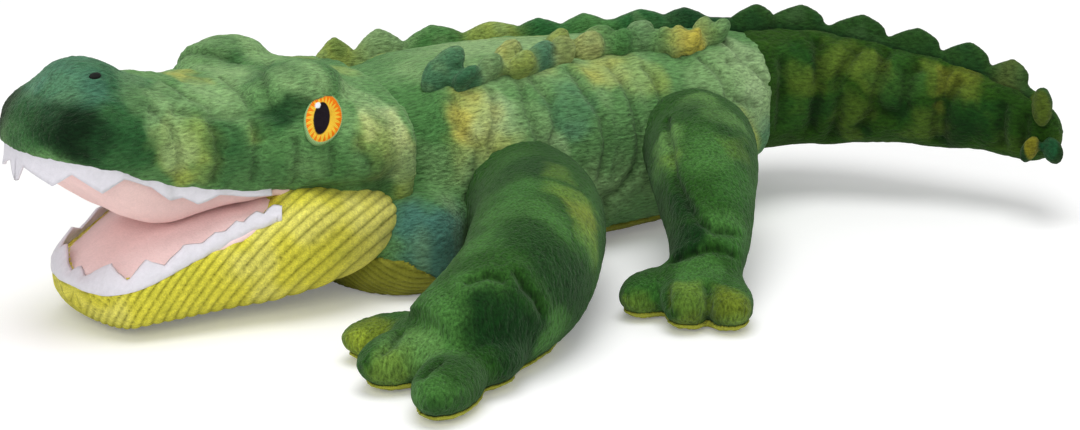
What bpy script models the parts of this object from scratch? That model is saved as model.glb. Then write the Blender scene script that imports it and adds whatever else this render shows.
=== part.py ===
"""Plush crocodile: sewn skins over fibre fill, felt teeth, and jointed limbs, jaw, neck and tail.

Units are metres. The belly rests on z = 0, the head points towards -X and the left side is -Y.
"""
import math

import bmesh
import bpy
import numpy
from mathutils import Matrix, Vector

# Cloth and fit
SKIN = 0.0025
GAP = 0.0003
TURN_GAP = 0.0008
FILL_GAP = 0.0007
FLAT_CUT = 0.0005
OVERRUN = 0.060
SPAN = 0.600
MERGE = 0.00001
BULGE = 2.4
HEAD_BULGE = 2.1
BELLY_BULGE = 3.2
ROUND = 2.0

# Body, from the neck's pivot back to the tail's seam
NECK_X = -0.072
BODY_LENGTH = 0.1715
BODY_HALF_WIDTH = 0.051
BODY_HEIGHT = 0.079
TAIL_SHIFT = 0.005
SEAM_CLEARANCE = 0.0004
TAIL_SEAM_TURN = math.radians(-15)
# Along, half width, bottom, top, bend towards the left
BODY_SECTION_SHARES = (
    (0.000, 0.86, 0.00, 0.97, 0.0),
    (0.080, 0.96, 0.00, 1.00, 0.0),
    (0.210, 1.00, 0.00, 1.00, 0.0),
    (0.373, 0.98, 0.00, 0.99, 0.0),
    (0.513, 0.90, 0.00, 0.97, 0.0),
    (0.653, 0.88, 0.01, 0.955, 0.0),
    (0.805, 0.82, 0.10, 0.94, 0.1),
    (0.910, 0.69, 0.19, 0.92, 0.5),
    (1.000, 0.55, 0.25, 0.90, 1.0),
)
BELLY_HALF_WIDTH = 0.038
BELLY_FRONT_X = -0.102
BELLY_REAR_X = 0.072
BELLY_TOP = 0.018

# Tail
TAIL_LENGTH = 0.124
TAIL_HALF_WIDTH = 0.025
TAIL_HALF_HEIGHT = 0.026
TAIL_HEIGHT = 0.046
TAIL_RIM_SHARE = 0.6
TAIL_JOINT_SHARES = (0.0, 0.34, 0.67)
TAIL_HEADINGS = (math.radians(-30), math.radians(-46), math.radians(-50), math.radians(-58), math.radians(-95))
TAIL_HEADING_SHARES = (0.0, 0.25, 0.5, 0.75, 1.0)
TAIL_STEPS = 66
# Along, half width, half height, centre height
TAIL_SECTION_SHARES = (
    (0.00, 1.00, 1.00, 1.00),
    (0.20, 0.88, 0.90, 0.99),
    (0.40, 0.74, 0.79, 0.965),
    (0.60, 0.60, 0.69, 0.93),
    (0.80, 0.50, 0.58, 0.86),
    (0.93, 0.40, 0.44, 0.80),
    (1.00, 0.14, 0.16, 0.77),
)
TAIL_OPENING = 0.004

# Head, in its own frame: u forward from the neck's pivot, v to the left, z up
HEADING = math.radians(10)
HEAD_REAR = 0.028
HEAD_LENGTH = 0.145
HEAD_HALF_WIDTH = 0.052
HEAD_TOP = 0.105
LIP_SLOPE = math.radians(16)
# Along, half width, top, widest level
HEAD_SECTION_SHARES = (
    (-0.15, 0.90, 0.79, 0.56),
    (0.000, 0.96, 0.80, 0.57),
    (0.108, 1.00, 0.83, 0.58),
    (0.230, 0.93, 0.84, 0.60),
    (0.365, 0.80, 0.85, 0.62),
    (0.507, 0.68, 0.87, 0.66),
    (0.635, 0.60, 0.914, 0.71),
    (0.757, 0.57, 0.98, 0.78),
    (0.865, 0.54, 0.99, 0.82),
    (0.940, 0.45, 0.955, 0.84),
    (0.980, 0.29, 0.905, 0.84),
    (1.000, 0.08, 0.86, 0.845),
)
HEAD_TUCK = 2.0
BROW_U = 0.062
BROW_SPREAD_SHARE = 0.46
BROW_Z = 0.083
BROW_LENGTH = 0.020
BROW_WIDTH_SHARE = 0.25
BROW_RISE = 0.012
NOSE_U = 0.148
NOSE_Z = 0.095
NOSE_RADII = (0.017, 0.022, 0.011)
EYE_U = 0.063
EYE_Z = 0.0735
EYE_RADII = (0.0068, 0.004, 0.0092)
EYE_TILT = math.radians(20)
EYE_TURN = math.radians(14)
NOSTRIL_U = 0.147
NOSTRIL_V = 0.017
NOSTRIL_RADII = (0.003, 0.0022, 0.003)

# Jaw and throat
HINGE_U = 0.074
HINGE_Z = 0.025
BARREL_RADIUS = 0.021
JAW_SLOPE = math.radians(-19.5)
JAW_LENGTH = 0.074
JAW_HALF_WIDTH = 0.047
JAW_RISE = 0.007
JAW_LIFT = 0.0015
# Along from the hinge, half width, lift of the underside as a share of the barrel
JAW_SECTION_SHARES = (
    (-0.40, 1.00, -0.08),
    (0.000, 1.00, -0.08),
    (0.240, 0.92, -0.06),
    (0.480, 0.79, -0.05),
    (0.710, 0.70, -0.03),
    (0.880, 0.60, 0.08),
    (0.965, 0.44, 0.25),
    (1.000, 0.18, 0.40),
)
THROAT_LENGTH = 0.031
THROAT_HALF_WIDTH = 0.050
THROAT_FLOOR = 0.006
THROAT_MIDDLE = 0.038
BARREL_STEP = math.radians(12)

# Linings and teeth
LINING = 0.0022
PALATE_BULGE = 0.0075
FLOOR_BULGE = 0.0032
LINING_START = 0.012
FELT = 0.0016
FELT_INSET = 0.0018
TOOTH_BAND = 0.0024
TOOTH_HEIGHT = 0.0085
TEETH_A_SIDE = 11
TOOTH_GROWTH = 0.10

# Back and tail crests
CREST_THICKNESS = 0.008
CREST_VALLEY = 0.004
CREST_PEAK = 0.0100
CREST_ROOT = 0.006
CREST_THINNING = 0.35
CREST_STEPS = 4
CREST_SIDES = 6
SPINE_PITCH = 0.024
TAIL_SPINE_PITCH = 0.016
TAIL_CREST_MARGIN = 0.004
CREST_END_SHARE = 0.02
# Along the body, across as shares of its half width
LEFT_RIDGE_SHARES = ((0.05, -0.54), (0.15, -0.60), (0.33, -0.54), (0.57, -0.44), (0.75, -0.36), (0.93, -0.24))
RIGHT_RIDGE_SHARES = ((0.03, 0.74), (0.17, 0.76), (0.34, 0.66), (0.51, 0.48), (0.67, 0.30), (0.93, 0.10))
RIDGE_LIMIT_SHARE = 0.95
LEFT_RIDGE_LEAN = math.radians(50)
RIGHT_RIDGE_LEAN = math.radians(5)
TAIL_SPINE_LEAN = math.radians(8)

# Legs: places of the left ones, mirrored for the right. The right front leg is set further back.
FRONT_LEG_PLANE = BODY_HALF_WIDTH + SEAM_CLEARANCE
FRONT_LEG_RADIUS = 0.025
FRONT_LEG_START = (-0.034, 0.030)
FRONT_LEG_REACH = 0.092
FRONT_LEG_ADVANCE = 0.092
RIGHT_ADVANCE_SHARE = 0.85
HIND_PLANE_SHARE = 0.902
HIND_LEG_PLANE = BODY_HALF_WIDTH * HIND_PLANE_SHARE + SEAM_CLEARANCE
HIND_LEG_RADIUS = 0.024
HIND_LEG_START = (0.045, 0.040)
HIND_LEG_REACH = 0.082
HIND_LEG_ADVANCE = 0.050
# Advance, reach, height over the start's height, thickness
FRONT_LEG_SHARES = (
    (0.00, -0.20, 1.00, 1.00),
    (0.00, 0.04, 1.00, 0.98),
    (0.10, 0.30, 1.04, 0.98),
    (0.28, 0.56, 1.02, 0.96),
    (0.52, 0.83, 0.93, 0.88),
    (0.80, 0.97, 0.74, 0.74),
    (1.02, 1.00, 0.50, 0.46),
)
HIND_LEG_SHARES = (
    (0.00, -0.20, 1.00, 1.00),
    (0.00, 0.06, 1.00, 1.00),
    (0.22, 0.32, 0.98, 0.96),
    (0.46, 0.58, 0.84, 0.80),
    (0.66, 0.80, 0.60, 0.60),
    (0.86, 0.96, 0.36, 0.42),
)
FOOT_HEIGHT = 0.018
TOE_HEIGHT_SHARES = (0.81, 0.88, 0.84)
SOLE = 0.0025
# Toes spread from the pad's middle, from the inner to the outer one
FRONT_PAD_RADII = (0.018, 0.024)
FRONT_TOE_LENGTH = 0.028
FRONT_TOE_HALF_WIDTH = 0.0125
FRONT_TOE_TURNS = (math.radians(-62), math.radians(-2), math.radians(51))
FRONT_TOE_LENGTH_SHARES = (1.0, 0.66, 1.04)
HIND_PAD_RADII = (0.018, 0.019)
HIND_TOE_LENGTH = 0.024
HIND_TOE_HALF_WIDTH = 0.0105
HIND_TOE_TURNS = (math.radians(-2), math.radians(38), math.radians(74))
HIND_TOE_LENGTH_SHARES = (1.05, 1.0, 1.0)

# Facets
SHARP_ANGLE = math.radians(50)
SIDES = 20
LIMB_SIDES = 12
BALL_SIDES = 28
TAIL_SIDES = 12
TAIL_RINGS = 4
LINING_RINGS = 6
TOE_SIDES = 10
TOE_RINGS = 6

COLOURS = {
    "plush": (0.17, 0.32, 0.11, 1.0),
    "dark_plush": (0.07, 0.17, 0.07, 1.0),
    "corduroy": (0.52, 0.55, 0.12, 1.0),
    "lining": (0.92, 0.60, 0.57, 1.0),
    "felt": (0.92, 0.93, 0.92, 1.0),
    "sole": (0.62, 0.60, 0.16, 1.0),
    "fill": (0.90, 0.89, 0.86, 1.0),
    "eye": (0.93, 0.58, 0.08, 1.0),
    "nostril": (0.02, 0.02, 0.02, 1.0),
}
UP = Vector((0.0, 0.0, 1.0))
ACROSS = Vector((0.0, 1.0, 0.0))


def clear_scene():
    for thing in list(bpy.data.objects):
        bpy.data.objects.remove(thing)


def material_for(name, colour):
    """A matt cloth material of its own for each piece."""
    material = bpy.data.materials.new(name)
    material.use_nodes = True
    shader = material.node_tree.nodes["Principled BSDF"]
    shader.inputs["Base Color"].default_value = COLOURS[colour]
    shader.inputs["Roughness"].default_value = 0.9
    shader.inputs["Metallic"].default_value = 0.0
    return material


def add_solid(name, vertices, faces):
    """A mesh object from points and faces, with its faces turned outward."""
    mesh = bpy.data.meshes.new(name)
    mesh.from_pydata([tuple(point) for point in vertices], [], faces)
    shape = bmesh.new()
    shape.from_mesh(mesh)
    bmesh.ops.recalc_face_normals(shape, faces=shape.faces)
    shape.to_mesh(mesh)
    shape.free()
    piece = bpy.data.objects.new(name, mesh)
    bpy.context.collection.objects.link(piece)
    return piece


def combine(piece, tool, operation):
    """Cut, join or trim the piece with a tool solid, which is used up."""
    modifier = piece.modifiers.new("combine", "BOOLEAN")
    modifier.operation = operation
    modifier.object = tool
    modifier.solver = "EXACT"
    graph = bpy.context.evaluated_depsgraph_get()
    shape = bpy.data.meshes.new_from_object(piece.evaluated_get(graph))
    piece.modifiers.clear()
    old_mesh = piece.data
    piece.data = shape
    bpy.data.meshes.remove(old_mesh)
    bpy.data.objects.remove(tool)
    clean_mesh(piece.data)
    return piece


def clean_mesh(mesh):
    """Merge the points that a cut leaves on top of each other."""
    shape = bmesh.new()
    shape.from_mesh(mesh)
    bmesh.ops.remove_doubles(shape, verts=shape.verts, dist=MERGE)
    shape.to_mesh(mesh)
    shape.free()


def cut(piece, tool):
    return combine(piece, tool, "DIFFERENCE")


def join(piece, tool):
    return combine(piece, tool, "UNION")


def trim(piece, tool):
    return combine(piece, tool, "INTERSECT")


def finish_piece(piece, name, colour, pivot=None):
    """Name the piece, colour it, shade it smooth and hang it on its joint's pivot."""
    piece.name = name
    piece.data.name = name
    piece.data.materials.clear()
    piece.data.materials.append(material_for(name, colour))
    piece.data.shade_smooth()
    piece.data.set_sharp_from_angle(angle=SHARP_ANGLE)
    if pivot is not None:
        pivot_empty, offset = pivot
        piece.data.transform(Matrix.Translation(-offset))
        piece.parent = pivot_empty
    return piece


def add_pivot(name, location, parent=None, turn=0.0):
    pivot = bpy.data.objects.new(name, None)
    bpy.context.collection.objects.link(pivot)
    pivot.location = location
    pivot.rotation_euler = (0.0, 0.0, turn)
    pivot.parent = parent
    return pivot


def bend_power(value, power):
    return math.copysign(abs(value) ** power, value)


def section(centre, side, half_width, rise, drop, sides, bulge=BULGE, low_bulge=None, up=UP):
    """Points of one rounded section, from the side direction up and round."""
    points = []
    for step in range(sides):
        angle = 2 * math.pi * step / sides
        power = 2 / (low_bulge if low_bulge and math.sin(angle) < 0 else bulge)
        across = bend_power(math.cos(angle), power) * half_width
        lift = bend_power(math.sin(angle), power)
        lift *= rise if lift > 0 else drop
        points.append(Vector(centre) + side * across + up * lift)
    return points


def nose_points(ring, centre, toward):
    """Meridians that turn a section's half outline about the upright line through its centre."""
    sides = len(ring)
    quarter = sides // 4
    fan = sides // 2
    side = (ring[0] - centre).normalized()
    meridians = []
    for step in range(1, fan):
        angle = math.pi * step / fan
        direction = side * math.cos(angle) + toward * math.sin(angle)
        meridian = []
        for level in range(quarter - 1, -quarter, -1):
            point = ring[level % sides]
            radius = (Vector((point.x, point.y, 0.0)) - Vector((centre.x, centre.y, 0.0))).length
            meridian.append(Vector((centre.x, centre.y, point.z)) + direction * radius)
        meridians.append(meridian)
    return meridians


def add_nose(vertices, faces, first, ring, centre, toward):
    """Close a loft's end with a turned nose. first is the index of the ring's first point."""
    sides = len(ring)
    quarter = sides // 4
    levels = 2 * quarter - 1
    top = first + quarter
    bottom = first + 3 * quarter
    columns = [[first + level % sides for level in range(quarter - 1, -quarter, -1)]]
    for meridian in nose_points(ring, centre, toward):
        columns.append(list(range(len(vertices), len(vertices) + levels)))
        vertices.extend(meridian)
    columns.append([first + (2 * quarter - level) % sides for level in range(quarter - 1, -quarter, -1)])
    for left, right in zip(columns, columns[1:]):
        faces.append((top, left[0], right[0]))
        for level in range(levels - 1):
            faces.append((left[level], left[level + 1], right[level + 1], right[level]))
        faces.append((left[-1], bottom, right[-1]))


def loft(name, rings, noses=()):
    """A closed skin through the rings. An end without a turned nose is closed flat.

    noses holds (ring number, centre, direction) for the first or the last ring.
    """
    sides = len(rings[0])
    vertices = [point for ring in rings for point in ring]
    faces = []
    for row in range(len(rings) - 1):
        for step in range(sides):
            after = (step + 1) % sides
            low = row * sides
            high = low + sides
            faces.append((low + step, low + after, high + after, high + step))
    with_nose = [number for number, _, _ in noses]
    for number in (0, len(rings) - 1):
        if number not in with_nose:
            faces.append(tuple(number * sides + step for step in range(sides)))
    for number, centre, toward in noses:
        add_nose(vertices, faces, number * sides, rings[number], centre, toward)
    return add_solid(name, vertices, faces)


def turned_ball(centre, half_width, half_height, levels, sides=BALL_SIDES, low_bulge=BULGE):
    """A solid of revolution about the upright line through the centre."""
    rings = []
    for level in range(1, levels):
        angle = math.pi * level / levels - math.pi / 2
        power = 2 / (low_bulge if angle < 0 else BULGE)
        radius = half_width * math.cos(angle) ** power
        lift = bend_power(math.sin(angle), power) * half_height
        rings.append([
            Vector(centre) + Vector((
                radius * math.cos(2 * math.pi * step / sides),
                radius * math.sin(2 * math.pi * step / sides),
                lift,
            ))
            for step in range(sides)
        ])
    return loft("ball", rings)


def box_between(low, high):
    points = [Vector((x, y, z)) for z in (low[2], high[2]) for y in (low[1], high[1]) for x in (low[0], high[0])]
    faces = [(0, 1, 3, 2), (4, 6, 7, 5), (0, 4, 5, 1), (2, 3, 7, 6), (0, 2, 6, 4), (1, 5, 7, 3)]
    return add_solid("box", points, faces)


def below_level(height):
    """Everything under a level, for the flat cut of a form that rests on it."""
    return box_between((-SPAN, -SPAN, -OVERRUN), (SPAN, SPAN, height))


def above_level(height):
    return box_between((-SPAN, -SPAN, height), (SPAN, SPAN, height + SPAN))


def side_prism(outline, half_width):
    """A solid with the given side outline of (u, z) points, across the head's full width."""
    count = len(outline)
    points = [Vector((u, -half_width, z)) for u, z in outline]
    points += [Vector((u, half_width, z)) for u, z in outline]
    faces = [tuple(range(count)), tuple(range(2 * count - 1, count - 1, -1))]
    for step in range(count):
        after = (step + 1) % count
        faces.append((step, after, count + after, count + step))
    return add_solid("prism", points, faces)


def table_value(table, column, along):
    """Read a column of a table of shares, straight between its rows."""
    rows = numpy.array(table)
    return float(numpy.interp(along, rows[:, 0], rows[:, column]))


def add_body_parts():
    """The torso: skin, belly panel, fill and the two rows of back spines."""
    def rings(inset):
        found = []
        for along, wide, bottom, top, bend in BODY_SECTION_SHARES:
            turn = TAIL_SEAM_TURN * bend
            side = Vector((-math.sin(turn), math.cos(turn), 0.0))
            low = BODY_HEIGHT * bottom - FLAT_CUT + inset
            high = BODY_HEIGHT * top - inset
            centre = Vector((NECK_X + BODY_LENGTH * along, -TAIL_SHIFT * bend, (low + high) / 2))
            half_height = (high - low) / 2
            half_width = BODY_HALF_WIDTH * wide - inset
            ring = section(centre, side, half_width, half_height, half_height, SIDES, BULGE, BELLY_BULGE)
            found.append(ring)
        return found

    def neck_centre(found):
        return sum(found[0], Vector()) / SIDES

    forward = Vector((-1.0, 0.0, 0.0))

    def solid(inset):
        found = rings(inset)
        return loft("body", found, ((0, neck_centre(found), forward),))

    def shell():
        outer = rings(0.0)
        inner = rings(SKIN)
        noses = ((0, neck_centre(outer), forward), (2 * len(outer) - 1, neck_centre(inner), forward))
        return cut(loft("body", outer + inner[::-1], noses), below_level(0.0))

    skin = cut(shell(), belly_outline(GAP))
    finish_piece(skin, "body_skin", "plush")
    panel = trim(shell(), belly_outline(0.0))
    finish_piece(panel, "belly_panel", "corduroy")
    fill = cut(solid(SKIN + FILL_GAP), tail_ball(0))
    finish_piece(fill, "body_stuffing", "fill")
    for name, shares, lean in (
        ("left_back_ridge", LEFT_RIDGE_SHARES, -LEFT_RIDGE_LEAN),
        ("right_back_ridge", RIGHT_RIDGE_SHARES, RIGHT_RIDGE_LEAN),
    ):
        ridge = add_crest([body_ridge_place(along, shares, lean) for along in ridge_steps(shares)])
        finish_piece(cut(ridge, solid(-GAP)), name, "dark_plush")


def belly_outline(grow):
    """The upright outline of the belly's corduroy panel."""
    middle = (BELLY_FRONT_X + BELLY_REAR_X) / 2
    half_length = (BELLY_REAR_X - BELLY_FRONT_X) / 2 + grow
    rings = []
    for level in (-OVERRUN, BELLY_TOP + grow):
        ring = []
        for step in range(SIDES):
            angle = 2 * math.pi * step / SIDES
            x = middle + bend_power(math.cos(angle), 2 / BULGE) * half_length
            y = bend_power(math.sin(angle), 2 / BULGE) * (BELLY_HALF_WIDTH + grow)
            ring.append(Vector((x, y, level)))
        rings.append(ring)
    return loft("belly", rings)


def body_ridge_place(along, shares, lean):
    """A point on the body's back, and the way that the spine there leans."""
    wide = table_value(BODY_SECTION_SHARES, 1, along) * BODY_HALF_WIDTH
    low = table_value(BODY_SECTION_SHARES, 2, along) * BODY_HEIGHT - FLAT_CUT
    high = table_value(BODY_SECTION_SHARES, 3, along) * BODY_HEIGHT
    shift = -TAIL_SHIFT * table_value(BODY_SECTION_SHARES, 4, along)
    across = table_value(shares, 1, along) * BODY_HALF_WIDTH
    share = min(abs(across) / wide, RIDGE_LIMIT_SHARE)
    rise = (high - low) / 2 * (1 - share ** BULGE) ** (1 / BULGE)
    point = Vector((NECK_X + BODY_LENGTH * along, shift + across, (high + low) / 2 + rise))
    return point, Vector((0.0, math.sin(lean), math.cos(lean)))


def ridge_steps(shares):
    """Steps along the back, so many to a spine."""
    start = shares[0][0]
    length_share = shares[-1][0] - start
    spines = round(BODY_LENGTH * length_share / SPINE_PITCH)
    steps = spines * CREST_STEPS
    return [start + length_share * step / steps for step in range(steps + 1)]


def add_crest(places):
    """A stuffed strip whose height rises to a spine and falls again along its places."""
    rings = []
    for step, (point, out) in enumerate(places):
        before = places[max(step - 1, 0)][0]
        after = places[min(step + 1, len(places) - 1)][0]
        along = (after - before).normalized()
        side = along.cross(out).normalized()
        rise = (1 - math.cos(2 * math.pi * step / CREST_STEPS)) / 2
        height = CREST_VALLEY + (CREST_PEAK - CREST_VALLEY) * rise
        half_height = (height + CREST_ROOT) / 2
        centre = point + out * (height - half_height)
        thickness = CREST_THICKNESS / 2 * (1 - CREST_THINNING * rise)
        ring = section(centre, side, thickness, half_height, half_height, CREST_SIDES, ROUND, ROUND, out)
        rings.append(ring)
    return loft("crest", rings)


def tail_root():
    """The first tail pivot, behind the body's last section."""
    reach = TAIL_RIM_SHARE * TAIL_HALF_WIDTH
    end = Vector((NECK_X + BODY_LENGTH, -TAIL_SHIFT, TAIL_HEIGHT))
    return end + Vector((math.cos(TAIL_SEAM_TURN), math.sin(TAIL_SEAM_TURN), 0.0)) * reach


def tail_heading(along):
    return float(numpy.interp(along, TAIL_HEADING_SHARES, TAIL_HEADINGS))


def tail_place(along):
    """The tail's middle line: its point, side direction, half width and half height."""
    point = tail_root()
    for step in range(TAIL_STEPS):
        share = min(along - step / TAIL_STEPS, 1 / TAIL_STEPS)
        if share > 0:
            turn = tail_heading((step + 0.5) / TAIL_STEPS)
            point = point + Vector((math.cos(turn), math.sin(turn), 0.0)) * TAIL_LENGTH * share
    turn = tail_heading(along)
    point.z = TAIL_HEIGHT * table_value(TAIL_SECTION_SHARES, 3, along)
    side = Vector((-math.sin(turn), math.cos(turn), 0.0))
    half_width = TAIL_HALF_WIDTH * table_value(TAIL_SECTION_SHARES, 1, along)
    half_height = TAIL_HALF_HEIGHT * table_value(TAIL_SECTION_SHARES, 2, along)
    return point, side, half_width, half_height


def tail_ball(number):
    """The space that a tail piece's round front end turns in."""
    point, _, half_width, half_height = tail_place(TAIL_JOINT_SHARES[number])
    return turned_ball(point, half_width + TURN_GAP, half_height + TURN_GAP, TAIL_SIDES // 2)


def add_tail_parts():
    """Three tail pieces in a chain, each with a skin, its fill and a row of spines."""
    pivot = None
    pivot_place = Vector()
    for number, start in enumerate(TAIL_JOINT_SHARES):
        last = number == len(TAIL_JOINT_SHARES) - 1
        end = 1.0
        if not last:
            after = TAIL_JOINT_SHARES[number + 1]
            end = after - TAIL_RIM_SHARE * tail_place(after)[2] / TAIL_LENGTH
        alongs = [start + (end - start) * step / TAIL_RINGS for step in range(TAIL_RINGS + 1)]
        place, side, _, _ = tail_place(start)
        pivot = add_pivot(f"tail_{number + 1}_pivot", place - pivot_place, pivot)
        pivot_place = place
        forward = Vector((-side.y, side.x, 0.0))

        def rings(inset):
            shortened = inset / TAIL_LENGTH if last else 0.0
            found = []
            for along in alongs:
                point, across, half_width, half_height = tail_place(min(along, 1.0 - shortened))
                half_width = max(half_width - inset, SKIN / 2)
                half_height = max(half_height - inset, SKIN / 2)
                found.append(section(point, across, half_width, half_height, half_height, TAIL_SIDES))
            return found

        def solid(inset):
            return loft("tail", rings(inset), ((0, place, forward),))

        if last:
            skin = cut(solid(0.0), solid(SKIN))
            front = place + forward * tail_place(start)[2]
            skin = cut(skin, turned_ball(front, TAIL_OPENING, TAIL_OPENING, TAIL_SIDES // 2, TAIL_SIDES))
            fill = solid(SKIN + FILL_GAP)
        else:
            noses = ((0, place, forward), (2 * len(alongs) - 1, place, forward))
            skin = cut(loft("tail", rings(0.0) + rings(SKIN)[::-1], noses), tail_ball(number + 1))
            fill = cut(solid(SKIN + FILL_GAP), tail_ball(number + 1))
        finish_piece(skin, f"tail_{number + 1}_skin", "dark_plush", (pivot, place))
        finish_piece(fill, f"tail_{number + 1}_stuffing", "fill", (pivot, place))
        spines = round((end - start) * TAIL_LENGTH / TAIL_SPINE_PITCH)
        steps = spines * CREST_STEPS
        margin = 0.0 if number == 0 else TAIL_CREST_MARGIN / TAIL_LENGTH
        places = []
        for step in range(steps + 1):
            along = start + margin + (end - start - margin - CREST_END_SHARE * last) * step / steps
            point, across, _, half_height = tail_place(along)
            out = (UP - across * math.tan(TAIL_SPINE_LEAN)).normalized()
            places.append((point + UP * half_height, out))
        crest = cut(add_crest(places), solid(-GAP))
        finish_piece(crest, f"tail_{number + 1}_crest", "dark_plush", (pivot, place))


def lip_level(u):
    """The upper lip's plane, level behind the mouth's corner."""
    reach = BARREL_RADIUS + TURN_GAP
    start = HINGE_U - reach * math.sin(LIP_SLOPE)
    rise = (u - start) * math.tan(LIP_SLOPE) + reach * math.cos(LIP_SLOPE)
    return HINGE_Z + max(reach, rise)


def jaw_level(u):
    """The jaw's top plane, level with its tangent point behind that."""
    start = HINGE_U - BARREL_RADIUS * math.sin(JAW_SLOPE)
    return HINGE_Z + BARREL_RADIUS * math.cos(JAW_SLOPE) + max(u - start, 0.0) * math.tan(JAW_SLOPE)


def barrel_points(radius, first, last):
    """Points round the hinge, by angle forward of straight up."""
    steps = max(2, round((first - last) / BARREL_STEP))
    turns = [first + (last - first) * step / steps for step in range(steps + 1)]
    return [(HINGE_U + radius * math.sin(turn), HINGE_Z + radius * math.cos(turn)) for turn in turns]


def head_row(along, inset=0.0):
    """One section of the upper head: u, half width, top, widest level, drop."""
    u = HEAD_REAR + (HEAD_LENGTH - inset) * along
    wide = HEAD_HALF_WIDTH * table_value(HEAD_SECTION_SHARES, 1, along) - inset
    top = HEAD_TOP * table_value(HEAD_SECTION_SHARES, 2, along) - inset
    middle = HEAD_TOP * table_value(HEAD_SECTION_SHARES, 3, along)
    drop = (middle - lip_level(u)) * HEAD_TUCK
    return u, max(wide, SKIN / 2), top, middle, max(drop, SKIN)


def head_solid(inset):
    rings = []
    for row in HEAD_SECTION_SHARES:
        u, wide, top, middle, drop = head_row(row[0], inset)
        rise = max(top - middle, SKIN)
        rings.append(section((u, 0.0, middle), ACROSS, wide, rise, drop, SIDES, HEAD_BULGE))
    return loft("head", rings)


def oval(centre, radii, tilt=0.0, turn=0.0):
    """A rounded form with three radii and its poles on the first, tilted about u and turned about z."""
    shape = bmesh.new()
    bmesh.ops.create_uvsphere(shape, u_segments=TOE_SIDES, v_segments=TOE_RINGS, radius=1.0)
    bmesh.ops.rotate(shape, matrix=Matrix.Rotation(math.pi / 2, 3, "Y"), verts=shape.verts)
    place = Matrix.Translation(centre) @ Matrix.Rotation(turn, 4, "Z") @ Matrix.Rotation(tilt, 4, "X")
    place = place @ Matrix.Diagonal((*radii, 1.0))
    bmesh.ops.transform(shape, matrix=place, verts=shape.verts)
    mesh = bpy.data.meshes.new("oval")
    shape.to_mesh(mesh)
    shape.free()
    piece = bpy.data.objects.new("oval", mesh)
    bpy.context.collection.objects.link(piece)
    return piece


def head_with_bumps(grow):
    """The upper head's outer form with its brows and its nose, before the mouth is cut."""
    form = head_solid(-grow)
    brow_radii = (BROW_LENGTH, HEAD_HALF_WIDTH * BROW_WIDTH_SHARE, BROW_RISE)
    for side in (1, -1):
        place = (BROW_U, side * HEAD_HALF_WIDTH * BROW_SPREAD_SHARE, BROW_Z)
        join(form, oval(place, [radius + grow for radius in brow_radii]))
    return join(form, oval((NOSE_U, 0.0, NOSE_Z), [radius + grow for radius in NOSE_RADII]))


def under_lip(rise=0.0):
    """Everything under the upper lip's plane and the level behind it."""
    far = HEAD_REAR + HEAD_LENGTH + OVERRUN
    corner = HINGE_U - (BARREL_RADIUS + TURN_GAP) * math.tan(LIP_SLOPE / 2)
    outline = [(-OVERRUN, -OVERRUN), (far, -OVERRUN), (far, lip_level(far) + rise)]
    outline += [(corner, lip_level(corner) + rise), (-OVERRUN, lip_level(corner) + rise)]
    return side_prism(outline, 2 * OVERRUN)


def over_lip(drop):
    """Everything over the upper lip's plane, less a small drop."""
    far = HEAD_REAR + HEAD_LENGTH + OVERRUN
    high = HEAD_TOP + OVERRUN
    start = HINGE_U
    outline = [(start, lip_level(start) - drop), (far, lip_level(far) - drop), (far, high), (start, high)]
    return side_prism(outline, 2 * OVERRUN)


def behind_rim():
    """Everything behind the head's rear seam."""
    return box_between((-2 * OVERRUN, -2 * OVERRUN, -OVERRUN), (HEAD_REAR, 2 * OVERRUN, 3 * OVERRUN))


def neck_ball():
    """The space that the body's round front end turns in."""
    _, wide, bottom, top, _ = BODY_SECTION_SHARES[0]
    low = BODY_HEIGHT * bottom - FLAT_CUT
    high = BODY_HEIGHT * top
    half_height = (high - low) / 2 + TURN_GAP
    centre = (0.0, 0.0, (high + low) / 2)
    radius = BODY_HALF_WIDTH * wide + TURN_GAP
    return turned_ball(centre, radius, half_height, SIDES // 2, BALL_SIDES, BELLY_BULGE)


def add_head_parts(neck):
    """The upper head: skin, fill, throat, palate, teeth, eyes and nostrils."""
    skin = cut(head_with_bumps(0.0), head_solid(SKIN))
    skin = cut(cut(cut(skin, under_lip()), behind_rim()), neck_ball())
    finish_piece(skin, "head_skin", "plush", (neck, Vector()))
    fill = cut(cut(cut(head_solid(SKIN + FILL_GAP), under_lip()), behind_rim()), neck_ball())
    finish_piece(fill, "head_stuffing", "fill", (neck, Vector()))
    finish_piece(throat(), "throat_panel", "corduroy", (neck, Vector()))
    finish_piece(palate(), "palate_lining", "lining", (neck, Vector()))
    teeth = tooth_strip(upper_outline(), lip_level, -1)
    finish_piece(teeth, "upper_teeth", "felt", (neck, Vector()))
    for name, side in (("left", 1), ("right", -1)):
        eye = oval(surface_point(EYE_U, EYE_Z, side), EYE_RADII, -side * EYE_TILT, -side * EYE_TURN)
        finish_piece(cut(eye, head_with_bumps(GAP)), f"{name}_eye", "eye", (neck, Vector()))
        along = (NOSTRIL_U - HEAD_REAR) / HEAD_LENGTH
        _, wide, top, middle, _ = head_row(along)
        level = nose_top(NOSTRIL_U, NOSTRIL_V, wide, top, middle)
        nostril = oval((NOSTRIL_U, side * NOSTRIL_V, level), NOSTRIL_RADII)
        finish_piece(cut(nostril, head_with_bumps(GAP)), f"{name}_nostril", "nostril", (neck, Vector()))


def surface_point(u, z, side):
    """A point on the head's side at a place and level."""
    _, wide, top, middle, _ = head_row((u - HEAD_REAR) / HEAD_LENGTH)
    share = min((z - middle) / (top - middle), 1.0)
    return Vector((u, side * wide * (1 - share ** HEAD_BULGE) ** (1 / HEAD_BULGE), z))


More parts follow.
